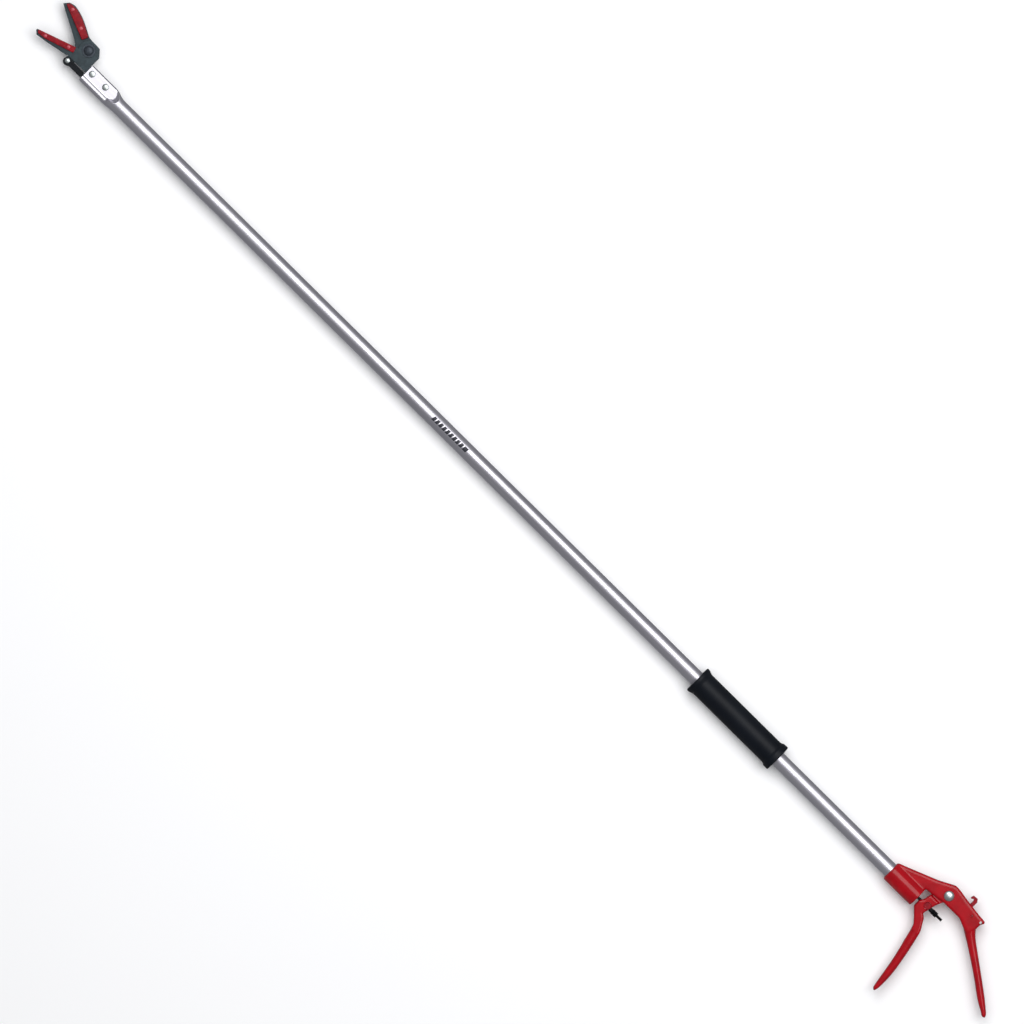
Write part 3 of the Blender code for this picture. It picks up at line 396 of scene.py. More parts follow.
def flat_curve(name: str, loops: Sequence[Sequence[Point]], half: float, grow: float) -> bpy.types.Curve:
    """A filled curve, extruded both ways.

    Args:
        name: the curve's name.
        loops: the outline, then any holes.
        half: how far to extrude it each way.
        grow: how far to move its outline out.

    Returns:
        The curve.
    """
    curve = bpy.data.curves.new(name, "CURVE")
    curve.dimensions = "2D"
    curve.fill_mode = "BOTH"
    curve.extrude = half
    curve.offset = grow
    for index, loop in enumerate(loops):
        spline = curve.splines.new("POLY")
        spline.points.add(len(loop) - 1)
        for point, place in zip(spline.points, wound(loop, index == 0)):
            point.co = (place[0], place[1], 0.0, 1.0)
        spline.use_cyclic_u = True
    return curve


def plate(name: str, loops: Sequence[Sequence[Point]], low: float, high: float,
          edge: float = 0.0, steps: int = 3) -> bpy.types.Mesh:
    """A flat solid with rounded edges, inside its outline.

    Args:
        name: the mesh's name.
        loops: the outline, then any holes.
        low: height of its underside.
        high: height of its upper side.
        edge: radius of the rounded edges.
        steps: how finely the edges are rounded.

    Returns:
        The closed mesh.
    """
    curve = flat_curve(name, loops, (high - low) / 2 - edge, -edge)
    curve.bevel_depth = edge
    curve.bevel_resolution = steps - 1
    return meshed(curve, (low + high) / 2)


def pillow(name: str, outline: Sequence[Point], low: float, high: float, edge: float,
           steps: int = 8) -> list[bpy.types.Mesh]:
    """Layers that make a solid with broad round edges once they are cast together.

    Args:
        name: the layers' name.
        outline: the solid's outline.
        low: height of its underside.
        high: height of its upper side.
        edge: radius of its edges.
        steps: how many layers to make.

    Returns:
        The closed layers, one within the other.
    """
    layers = []
    for i in range(steps + 1):
        angle = math.pi / 2 * i / steps
        inset = edge * (1 - math.cos(angle))
        drop = edge * (1 - math.sin(angle))
        curve = flat_curve(name, [outline], (high - low) / 2 - drop, -inset)
        layers.append(meshed(curve, (low + high) / 2))
    return layers


def meshed(curve: bpy.types.Curve, lift: float = 0.0) -> bpy.types.Mesh:
    """Turn a curve's solid into a closed mesh and remove the curve.

    Args:
        curve: the curve.
        lift: how far to raise the solid.

    Returns:
        The mesh.
    """
    holder = bpy.data.objects.new(curve.name, curve)
    bpy.context.scene.collection.objects.link(holder)
    graph = bpy.context.evaluated_depsgraph_get()
    mesh = bpy.data.meshes.new_from_object(holder.evaluated_get(graph))
    mesh.name = curve.name
    shape = bmesh.new()
    shape.from_mesh(mesh)
    bmesh.ops.remove_doubles(shape, verts=shape.verts, dist=0.000001)
    bmesh.ops.recalc_face_normals(shape, faces=shape.faces)
    if shape.calc_volume(signed=True) < 0:
        bmesh.ops.reverse_faces(shape, faces=shape.faces)
    bmesh.ops.translate(shape, verts=shape.verts, vec=(0.0, 0.0, lift))
    shape.to_mesh(mesh)
    shape.free()
    bpy.data.objects.remove(holder)
    bpy.data.curves.remove(curve)
    return mesh


def lofted(name: str, rings: Sequence[Ring], closed: bool = False) -> bpy.types.Mesh:
    """A solid through rings of equal length.

    Args:
        name: the mesh's name.
        rings: the rings in order.
        closed: join the last ring to the first instead of capping both.

    Returns:
        The closed mesh.
    """
    shape = bmesh.new()
    verts = [[shape.verts.new(place) for place in ring] for ring in rings]
    count = len(rings[0])
    pairs = list(zip(verts, verts[1:]))
    if closed:
        pairs.append((verts[-1], verts[0]))
    for a, b in pairs:
        for i in range(count):
            j = (i + 1) % count
            shape.faces.new((a[i], a[j], b[j], b[i]))
    if not closed:
        shape.faces.new(verts[0])
        shape.faces.new(verts[-1])
    return mesh_of(name, shape)


def turned(name: str, profile: Sequence[Point], centre: Vector, along: str = "Z", sides: int = 48,
           ring: bool = False) -> bpy.types.Mesh:
    """A turned solid.

    Args:
        name: the mesh's name.
        profile: (radius, place along the axis) down its outer side; a zero radius closes an end.
        centre: where the axis's zero is.
        along: "Z" or "X".
        sides: steps round it.
        ring: join the profile's last point to its first.

    Returns:
        The closed mesh.
    """
    shape = bmesh.new()
    columns = []
    poles: dict[int, bmesh.types.BMVert] = {}
    for step in range(sides):
        angle = 2 * math.pi * step / sides
        column = []
        for index, (radius, place) in enumerate(profile):
            if radius < 1e-9 and index in poles:
                column.append(poles[index])
                continue
            u, v = radius * math.cos(angle), radius * math.sin(angle)
            spot = Vector((u, v, place)) if along == "Z" else Vector((place, u, v))
            vert = shape.verts.new(spot + centre)
            if radius < 1e-9:
                poles[index] = vert
            column.append(vert)
        columns.append(column)
    spans = list(zip(range(len(profile) - 1), range(1, len(profile))))
    if ring:
        spans.append((len(profile) - 1, 0))
    for a, b in zip(columns, [*columns[1:], columns[0]]):
        for i, j in spans:
            corners = list(dict.fromkeys((a[i], a[j], b[j], b[i])))
            if len(corners) > 2:
                shape.faces.new(corners)
    if not ring:
        for index in (0, len(profile) - 1):
            if index not in poles:
                shape.faces.new([column[index] for column in columns])
    return mesh_of(name, shape)


def superellipse(centre: Vector, across: Vector, up: Vector, power: float, count: int = 40) -> Ring:
    """A ring between a rectangle and an ellipse.

    Args:
        centre: its middle.
        across: half its width.
        up: half its height.
        power: 2 for an ellipse; more is squarer.
        count: its points.

    Returns:
        The ring.
    """
    ring = []
    for i in range(count):
        angle = 2 * math.pi * i / count
        cos, sin = math.cos(angle), math.sin(angle)
        ring.append(centre + across * math.copysign(abs(cos) ** (2 / power), cos)
                    + up * math.copysign(abs(sin) ** (2 / power), sin))
    return ring


def resampled(line: Sequence[Point], count: int) -> list[Vector]:
    """Points spread evenly along a line.

    Args:
        line: the line.
        count: how many points to give.

    Returns:
        The points.
    """
    places = [Vector(point[:2]) for point in line]
    lengths = [0.0]
    for a, b in zip(places, places[1:]):
        lengths.append(lengths[-1] + (b - a).length)
    spread = []
    index = 0
    for i in range(count):
        goal = lengths[-1] * i / (count - 1)
        while index < len(places) - 2 and lengths[index + 1] < goal:
            index += 1
        span = max(1e-9, lengths[index + 1] - lengths[index])
        spread.append(places[index].lerp(places[index + 1], min(1.0, (goal - lengths[index]) / span)))
    return spread


def lever(name: str, inner: Sequence[Point], outer: Sequence[Point], half: Callable[[float], float],
          level: float, power: float = 2.6, stations: int = 60, nose: float = 0.05) -> bpy.types.Mesh:
    """A hand lever: a rounded section drawn between its inner and outer edges, with a round tip.

    Args:
        name: the mesh's name.
        inner: the edge towards the other lever, from the root to the tip.
        outer: the other edge, from the root to the tip.
        half: half its thickness at a share of its length.
        level: height of its middle plane.
        power: squareness of its section.
        stations: sections along it.
        nose: share of its length that the rounded tip takes.

    Returns:
        The closed mesh.
    """
    rings = []
    for i, (a, b) in enumerate(zip(resampled(inner, stations), resampled(outer, stations))):
        share = i / (stations - 1)
        over = max(0.0, (share - 1 + nose) / nose)
        shrink = math.sqrt(max(0.003, 1 - over * over))
        middle = (a + b) / 2
        across = (a - b) / 2 * shrink
        rings.append(superellipse(Vector((middle.x, middle.y, level)), Vector((across.x, across.y, 0.0)),
                                  Vector((0.0, 0.0, half(share) * shrink)), power))
    return lofted(name, rings)


def joined(name: str, meshes: Sequence[bpy.types.Mesh]) -> bpy.types.Mesh:
    """Put several closed meshes in one mesh, still overlapping."""
    shape = bmesh.new()
    for mesh in meshes:
        shape.from_mesh(mesh)
    both = bpy.data.meshes.new(name)
    shape.to_mesh(both)
    shape.free()
    for mesh in meshes:
        bpy.data.meshes.remove(mesh)
    return both


def modified(mesh: bpy.types.Mesh, *changes: tuple[str, dict]) -> bpy.types.Mesh:
    """Pass a mesh through modifiers.

    Args:
        mesh: the mesh, which is removed.
        changes: each modifier's type and settings, in order.

    Returns:
        The changed mesh.
    """
    holder = bpy.data.objects.new(mesh.name, mesh)
    bpy.context.scene.collection.objects.link(holder)
    for kind, settings in changes:
        change = holder.modifiers.new(kind.lower(), kind)
        for key, value in settings.items():
            setattr(change, key, value)
    graph = bpy.context.evaluated_depsgraph_get()
    made = bpy.data.meshes.new_from_object(holder.evaluated_get(graph))
    name = mesh.name
    bpy.data.objects.remove(holder)
    bpy.data.meshes.remove(mesh)
    made.name = name
    return made


def cast(name: str, meshes: Sequence[bpy.types.Mesh], grid: float, softening: int) -> bpy.types.Mesh:
    """Fuse closed meshes into one skin with the soft inner and outer corners of a casting.

    Args:
        name: the mesh's name.
        meshes: closed meshes that overlap.
        grid: size of the skin's facets.
        softening: smoothing passes over the corners.

    Returns:
        The fused mesh.
    """
    smooth = ("SMOOTH", {"factor": 0.5, "iterations": softening})
    return modified(joined(name, meshes), ("REMESH", {"mode": "VOXEL", "voxel_size": grid}), smooth)


def cut(mesh: bpy.types.Mesh, tools: Sequence[bpy.types.Mesh]) -> bpy.types.Mesh:
    """Machine a mesh with closed cutters.

    Args:
        mesh: the mesh to cut, which is removed.
        tools: the cutters, which are removed.

    Returns:
        The cut mesh.
    """
    holders = []
    changes = []
    for tool in tools:
        holder = bpy.data.objects.new(tool.name, tool)
        bpy.context.scene.collection.objects.link(holder)
        holders.append(holder)
        changes.append(("BOOLEAN", {"operation": "DIFFERENCE", "solver": "MANIFOLD", "object": holder}))
    bpy.context.view_layer.update()
    made = modified(mesh, *changes)
    for holder in holders:
        tool = holder.data
        bpy.data.objects.remove(holder)
        bpy.data.meshes.remove(tool)
    return made


def bar(name: str, radius: float, low: float, high: float, centre: Vector, along: str = "Z",
        sides: int = 40, chamfer: float = 0.0) -> bpy.types.Mesh:
    """A round bar, or a drill's cut.

    Args:
        name: the mesh's name.
        radius: its radius.
        low: its lower end, from the centre.
        high: its upper end, from the centre.
        centre: a place on its axis.
        along: "Z" or "X".
        sides: steps round it.
        chamfer: width of the chamfers at its ends.

    Returns:
        The closed mesh.
    """
    profile = [(radius, high), (radius, low)]
    if chamfer:
        profile = [(radius - chamfer, high), (radius, high - chamfer), (radius, low + chamfer),
                   (radius - chamfer, low)]
    return turned(name, profile, centre, along, sides)


def dome(radius: float, height: float, seat: float, steps: int = 7, lip: float = 0.0) -> list[Point]:
    """A domed head's profile, from its top down to its seat.

    Args:
        radius: the head's radius.
        height: its height over the seat.
        seat: height of the seat.
        steps: points over the dome.
        lip: height of the straight rim under the dome.

    Returns:
        (radius, height) points.
    """
    profile = []
    for i in range(steps + 1):
        angle = math.pi / 2 * i / steps
        profile.append((radius * math.sin(angle), seat + lip + (height - lip) * math.cos(angle)))
    profile.append((radius, seat))
    profile[0] = (0.0, seat + height)
    return profile if lip else profile[:-1]


def nut(name: str, across_flats: float, low: float, high: float, bore: float, centre: Vector,
        along: str = "Z") -> bpy.types.Mesh:
    """A hexagon nut whose corners are turned down at both faces.

    Args:
        name: the mesh's name.
        across_flats: its width across the flats.
        low: its lower face, from the centre.
        high: its upper face, from the centre.
        bore: the hole's radius.
        centre: a place on its axis.
        along: "Z" or "X".

    Returns:
        The closed mesh.
    """
    count = 48
    chamfer = math.tan(math.radians(30))
    inner = across_flats / 2 * 0.97  # the chamfer starts just inside the flats
    rings = []
    for place, share in ((high, 0.0), (high, 1.0), (low, 1.0), (low, 0.0)):
        ring = []
        for i in range(count):
            angle = 2 * math.pi * i / count
            flat = (angle + math.pi / 6) % (math.pi / 3) - math.pi / 6
            radius = across_flats / 2 / math.cos(flat)
            drop = (radius - inner) * chamfer * (1 if place == high else -1)
            reach = radius if share else inner
            depth = place - (drop if share else 0.0)
            u, v = reach * math.cos(angle), reach * math.sin(angle)
            spot = Vector((u, v, depth)) if along == "Z" else Vector((depth, u, v))
            ring.append(spot + centre)
        rings.append(ring)
    for depth in (low, high):
        ring = []
        for i in range(count):
            angle = 2 * math.pi * i / count
            u, v = bore * math.cos(angle), bore * math.sin(angle)
            spot = Vector((u, v, depth)) if along == "Z" else Vector((depth, u, v))
            ring.append(spot + centre)
        rings.append(ring)
    return lofted(name, rings, closed=True)


def merged(mesh: bpy.types.Mesh, tool: bpy.types.Mesh) -> bpy.types.Mesh:
    """Weld one closed mesh to another."""
    holder = bpy.data.objects.new(tool.name, tool)
    bpy.context.scene.collection.objects.link(holder)
    bpy.context.view_layer.update()
    union = ("BOOLEAN", {"operation": "UNION", "solver": "MANIFOLD", "object": holder})
    made = modified(mesh, union)
    bpy.data.objects.remove(holder)
    bpy.data.meshes.remove(tool)
    return made


def dressed(finish: Finish, *nodes: str) -> None:
    """Give CAD pieces that keep their own shape a finish.

    Args:
        finish: the surface finish.
        nodes: the pieces' names.
    """
    for name in nodes:
        mesh = frame["nodes"][name].data
        mesh.materials.clear()
        mesh.materials.append(finish.material())
        mesh.shade_smooth()
        mesh.set_sharp_from_angle(angle=math.radians(30))


def joint_place(name: str) -> Vector:
    """Where a joint of the frame is at rest."""
    return next(Vector(joint["pos_m"]) for joint in frame["joints"] if joint["name"] == name)


@dataclass
class Layout:
    """Places that the sub-assemblies share, taken from the frame."""

    trigger_pivot: Vector = field(default_factory=lambda: joint_place("trigger_pivot"))
    trunnion: Vector = field(default_factory=lambda: joint_place("trunnion_pivot"))
    head_pivot: Vector = field(default_factory=lambda: joint_place("blade_pivot"))
    tube_box: tuple[Vector, Vector] = field(default_factory=lambda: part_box("tube"))
    rod_box: tuple[Vector, Vector] = field(default_factory=lambda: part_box("pull_rod"))
    socket_depth: float = 46.0 * MM

    @property
    def axis(self) -> Vector:
        """A place on the tube's axis, at the tube's head end."""
        low, high = self.rod_box
        return Vector((self.tube_box[1].x, (low.y + high.y) / 2, (low.z + high.z) / 2))

    @property
    def mouth(self) -> Vector:
        """The middle of the socket's mouth, where the tube enters the handle."""
        return Vector((self.tube_box[0].x + self.socket_depth, self.axis.y, self.axis.z))


LAYOUT = Layout()
LEVEL = LAYOUT.axis.z


def from_pivot(*points: Sequence[float]) -> list[tuple]:
    """Millimetre points from the trigger's pivot, as frame places."""
    return moved(mm(*points), LAYOUT.trigger_pivot)


def from_trunnion(*points: Sequence[float]) -> list[tuple]:
    """Millimetre points from the trunnion, as frame places."""
    return moved(mm(*points), LAYOUT.trunnion)


# ---------------------------------------------------------------- pole
@dataclass
class PoleTube:
    """The drawn tube, pressed flat at the head end with a bead for the link bar."""

    radius: float = 10.5 * MM
    wall: float = 1.2 * MM
    flat_start: float = 43.0 * MM
    taper: float = 20.0 * MM
    flat_half: float = 3.0 * MM
    flat_low: float = -14.7 * MM
    bead_radius: float = 4.9 * MM
    bead_top: float = 12.0 * MM
    panel_y: float = -5.6 * MM
    panel_half: float = 8.0 * MM
    panel_lead: float = 15.0 * MM
    panel_slope: float = 7.0 * MM
    rivet_x: tuple[float, float] = (-32.0 * MM, -7.5 * MM)
    rivet_radius: float = 2.0 * MM
    rivet_head: float = 4.5 * MM
    screw_x: float = 4.75 * MM
    screw_hole: float = 2.3 * MM
    hole_play: float = 0.3 * MM
    nib: float = 0.25 * MM
    lead_in: float = 2.0 * MM
    fine_step: float = 0.5 * MM
    plain_steps: int = 39  # fine steps left out at the head end, where the section no longer changes
    mark_start: float = 707.0 * MM
    bar_widths_mm: tuple[float, ...] = (7.0, *(4.6,) * 9)
    bar_gap_mm: float = 1.6
    sides: int = 120

    def ring(self, place: float, inset: float) -> Ring:
        """One section of the tube.

        Args:
            place: distance from the head end, negative along the tube.
            inset: 0 for the outer skin, the wall's thickness for the inner one.

        Returns:
            The ring, in frame coordinates.
        """
        low, high = self.flat_low + inset, self.bead_top - inset
        flat, bead = self.flat_half - inset, self.bead_radius - inset
        bead_y = self.bead_top - self.bead_radius
        width = smooth((place + self.flat_start + self.taper) / self.taper)
        ring = []
        for i in range(self.sides):
            angle = 2 * math.pi * i / self.sides
            y = (low + high) / 2 + (high - low) / 2 * math.cos(angle)
            edge = low + flat
            side = flat if y > edge else math.sqrt(max(0.0, flat ** 2 - (edge - y) ** 2))
            round_half = math.sqrt(max(0.0, bead ** 2 - (y - bead_y) ** 2))
            half = round_half if y > bead_y else soft_max(side, round_half, 1.4 * MM if y > edge else 1e-6)
            z = math.copysign(half, math.sin(angle)) if i % (self.sides // 2) else 0.0
            off = min(1.0, abs(y - self.panel_y) / self.panel_half)
            start = -self.flat_start - self.panel_lead + (1 - math.sqrt(1 - off * off)) * self.panel_half
            depth = smooth((place - start) / self.panel_slope)
            radius = self.radius - inset
            ring.append(Vector((place, radius * math.cos(angle) * (1 - width) + y * width,
                                radius * math.sin(angle) * (1 - depth) + z * depth)) + LAYOUT.axis)
        return ring

    def build(self) -> None:
        """Make the tube, its print and its rivets."""
        length = LAYOUT.tube_box[1].x - LAYOUT.tube_box[0].x
        pressed = self.flat_start + self.taper
        stations = [-length, -length + self.nib, -length / 2, -pressed - self.lead_in]
        fine_steps = int(pressed / self.fine_step - self.plain_steps)
        stations += [-pressed + self.fine_step * i for i in range(fine_steps)]
        stations += [-self.flat_start, -self.nib, 0.0]
        stations = sorted(set(round(place, 6) for place in stations))
        ends = (stations[0], stations[-1])
        outer = [self.ring(place, self.nib if place in ends else 0.0) for place in stations]
        inner = [self.ring(place, self.wall) for place in stations]
        mesh = lofted("tube_skin", outer + inner[::-1], closed=True)
        holes = [bar(f"rivet_hole_{i}", self.rivet_radius + self.hole_play, -10 * MM, 10 * MM,
                     LAYOUT.axis + Vector((x, self.panel_y, 0))) for i, x in enumerate(self.rivet_x)]
        seat = Vector((-length + self.screw_x, 0, 0)) + LAYOUT.axis
        holes.append(bar("screw_hole", self.screw_hole, -14 * MM, -5 * MM, seat))
        mesh = cut(mesh, holes)
        finished("drawn_tube", mesh, ANODISED_TUBE, Body.POLE, "tube", sharp_deg=40, crease=False)
        self.rivets()
        self.printed_mark()

    def rivets(self) -> None:
        """The two rivets through the pressed flat, with a formed head on both sides."""
        face = self.flat_half + 0.3 * MM
        top = dome(self.rivet_head, 1.6 * MM, face, lip=0.25 * MM) + [(self.rivet_radius, face)]
        profile = top + [(radius, -height) for radius, height in reversed(top)]
        for index, x in enumerate(self.rivet_x):
            name = f"tube_rivet_{index + 1}"
            mesh = turned(name + "_formed", profile, LAYOUT.axis + Vector((x, self.panel_y, 0)))
            finished(name + "_formed", mesh, ZINC_PLATE, Body.POLE, name, crease=False)

    def printed_mark(self) -> None:
        """A plain pattern of slanted bars printed on the tube: no letters and no sign."""
        shape = bmesh.new()
        place = LAYOUT.axis.x - self.mark_start
        for width in self.bar_widths_mm:
            self.printed_bar(shape, place, width * MM)
            place += (width + self.bar_gap_mm) * MM
        mesh = mesh_of("printed_bars", shape)
        finished("printed_bars", mesh, PRINTED_INK, Body.POLE, crease=False)

    def printed_bar(self, shape: bmesh.types.BMesh, place: float, width: float) -> None:
        """Add one slanted bar of ink, bent round the tube.

        Args:
            shape: the bmesh to add to.
            place: where the bar starts along the tube.
            width: its width along the tube.
        """
        tall, slant, steps = 6.4 * MM, 1.8 * MM, 12
        rings = []
        for i in range(steps + 1):
            share = i / steps - 0.5
            angle = share * tall / self.radius
            ring = []
            for reach, side in ((0.03, 0), (0.03, 1), (-0.05, 1), (-0.05, 0)):
                radius = self.radius + reach * MM
                ring.append(shape.verts.new((place + share * slant + side * width,
                                             LAYOUT.axis.y + radius * math.sin(angle),
                                             LAYOUT.axis.z + radius * math.cos(angle))))
            rings.append(ring)
        for a, b in zip(rings, rings[1:]):
            for i in range(4):
                j = (i + 1) % 4
                shape.faces.new((a[i], a[j], b[j], b[i]))
        shape.faces.new(rings[0])
        shape.faces.new(rings[-1])


@dataclass
class GripSleeve:
    """The rubber sleeve for the forward hand, with a flange at each end."""

    radius: float = 17.5 * MM
    flange: float = 20.0 * MM
    bore: float = 10.8 * MM

    def build(self) -> None:
        """Make the sleeve."""
        low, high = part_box("grip_sleeve")
        start, end = low.x - LAYOUT.axis.x, high.x - LAYOUT.axis.x
        corners = [(self.flange, end, 1.6 * MM), (self.flange - 0.4 * MM, end - 4.4 * MM, 2.0 * MM),
                   (self.radius, end - 9.6 * MM, 5.0 * MM), (self.radius, start + 11.2 * MM, 5.0 * MM),
                   (self.flange - 0.5 * MM, start + 7.6 * MM, 2.0 * MM), (self.flange, start, 1.6 * MM),
                   (self.bore, start, 0.5 * MM), (self.bore, end, 0.5 * MM)]
        mesh = turned("sleeve", rounded(corners, 12.0), LAYOUT.axis, "X", 96, ring=True)
        finished("moulded_sleeve", mesh, MOULDED_RUBBER, Body.GRIP, "grip_sleeve", sharp_deg=50,
                 crease=False)


# ---------------------------------------------------------------- handle
@dataclass
class HandleCasting:
    """The die-cast handle: tube socket, slotted body and the fixed hand lever in one piece."""

    half: float = 8.4 * MM
    lever_half: float = 7.0 * MM
    slot_half: float = 4.4 * MM
    socket_radius: float = 14.5 * MM
    socket_length: float = 50.0 * MM
    bore: float = 10.8 * MM
    body_edge: float = 3.2 * MM
    grid: float = 0.6 * MM

    def body(self) -> list[bpy.types.Mesh]:
        """The slotted body's layers, before they are fused and machined."""
        mouth = LAYOUT.mouth
        points = moved(mm((-1.5, -9.0), (-50.0, -9.0), (-50.0, -14.8)), mouth)
        points += from_pivot((18.0, 14.4), (-1.0, 11.2, 8), (-31.0, 11.2, 8), (-43.0, 16.4, 6),
                             (-52.0, 20.0), (-56.0, 8.0), (-56.2, -1.0), (-59.0, -6.5), (-57.6, -9.0),
                             (-46.0, -10.0, 6), (-21.0, -13.2, 6), (-8.0, -15.6, 6), (2.0, -16.4, 8),
                             (24.0, -5.0, 20))
        points += moved(mm((-14.0, -19.0, 20), (-1.5, -14.3)), mouth)
        return pillow("body", rounded(points), LEVEL - self.half, LEVEL + self.half, self.body_edge)

    def fixed_lever(self) -> bpy.types.Mesh:
        """The lever that the palm rests on."""
        inner = from_pivot((-36.0, 9.0), (-43.0, 16.3), (-66.0, 30.8), (-95.8, 50.8), (-122.0, 70.0),
                           (-136.0, 78.2), (-143.0, 82.6), (-146.4, 81.6))
        outer = from_pivot((-47.0, -3.0), (-54.8, 4.6), (-66.0, 16.2), (-95.8, 38.3), (-125.6, 60.4),
                           (-139.0, 71.4), (-145.0, 76.6), (-147.0, 79.6))
        return lever("fixed_lever", flowing(inner), flowing(outer), self.lever_depth, LEVEL, power=2.35,
                     nose=0.045)

    def lever_depth(self, share: float) -> float:
        """Half the lever's thickness, which swells into the body at the root.

        Args:
            share: place along the lever, 0 at the root.

        Returns:
            Half the thickness.
        """
        return self.lever_half + (self.half - 0.2 * MM - self.lever_half) * smooth(1 - share / 0.3)

    def socket(self) -> bpy.types.Mesh:
        """The round socket with its turned-in lip."""
        lip, radius = 2.5 * MM, self.socket_radius
        profile = [(0.0, 0.0), (radius - lip, 0.0), (radius - 0.3 * lip, -0.35 * lip), (radius, -lip),
                   (radius, -self.socket_length), (0.0, -self.socket_length)]
        return turned("socket", profile, LAYOUT.mouth, "X", 96)

    def cutters(self) -> list[bpy.types.Mesh]:
        """Everything machined or cored out of the casting."""
        mouth, pivot = LAYOUT.mouth, LAYOUT.trigger_pivot
        tools = [bar("bore", self.bore, -46.0 * MM, 5.0 * MM, mouth, "X", 96),
                 bar("rod_way", 2.6 * MM, -60.0 * MM, 0.0, mouth, "X", 32)]
        pocket, depth = 12.8, 9.6
        slot = from_pivot((20.5, 36.0), (-34.0, 36.0), (-34.0, 8.0, 2), (-40.0, 3.5, 1), (-50.4, 3.5),
                          (-50.4, -6.2), (-19.2, -6.2), (-18.0, -depth))
        start = 180.0 + math.degrees(math.asin(depth / pocket))
        slot = rounded(slot) + arc(pivot, pocket * MM, start, 346.0) + from_pivot((20.5, 18.0))
        tools.append(plate("slot", [slot], LEVEL - self.slot_half, LEVEL + self.slot_half))
        hook = from_pivot((-33.5, -5.0), (-33.5, -20.0), (-20.9, -20.0), (-20.9, -5.0))
        tools.append(plate("hook_way", [hook], LEVEL - self.slot_half, LEVEL + self.slot_half))
        for name, radius, place in (("bolt", 4.3, (0.0, 0.0)), ("lock_pin", 1.8, (-40.0, -2.4)),
                                    ("lanyard", 2.0, (-54.6, -4.2))):
            spot = Vector((*from_pivot(place)[0], LEVEL))
            tools.append(bar(name, radius * MM, -20 * MM, 20 * MM, spot))
        screw = Vector((LAYOUT.tube_box[0].x + 4.75 * MM, LAYOUT.axis.y, LEVEL))
        tools.append(bar("screw", 2.3 * MM, -30 * MM, -6 * MM, screw))
        return tools

    def build(self) -> None:
        """Cast, machine and enamel the handle."""
        skin = cast("casting", [*self.body(), self.fixed_lever(), self.socket()], self.grid, 8)
        mesh = cut(skin, self.cutters())
        finished("cast_handle", mesh, ENAMELLED_CASTING, Body.POLE, "handle_body", sharp_deg=42,
                 crease=False)
        self.fasteners()

    def fasteners(self) -> None:
        """The trigger's bolt and nut, the lock slide's pin and the socket's screw."""
        pivot = LAYOUT.trigger_pivot
        seat = self.half + 0.3 * MM
        shank = 4.0 * MM
        profile = dome(7.0 * MM, 3.8 * MM, seat, 9, 0.6 * MM)
        profile += [(shank, seat), (shank, -seat - 6.0 * MM), (shank - 0.5 * MM, -seat - 6.5 * MM)]
        bolt = turned("domed_bolt", [*profile, (0.0, -seat - 6.5 * MM)], pivot)
        finished("domed_trigger_bolt", bolt, ZINC_PLATE, Body.POLE, "trigger_bolt", crease=False)
        hexagon = nut("hex", 13.0 * MM, -seat - 6.5 * MM, -seat, shank + 0.3 * MM, pivot)
        finished("hex_trigger_nut", hexagon, ZINC_PLATE, Body.POLE, "trigger_nut", crease=False)
        pin = Vector((*from_pivot((-40.0, -2.4))[0], LEVEL))
        mesh = bar("pin", 1.5 * MM, -self.half, self.half, pin, chamfer=0.3 * MM)
        finished("chamfered_lock_pin", mesh, OVERSPRAYED_PIN, Body.POLE, "lock_slide_pin", crease=False)
        dressed(ZINC_PLATE, "socket_screw")


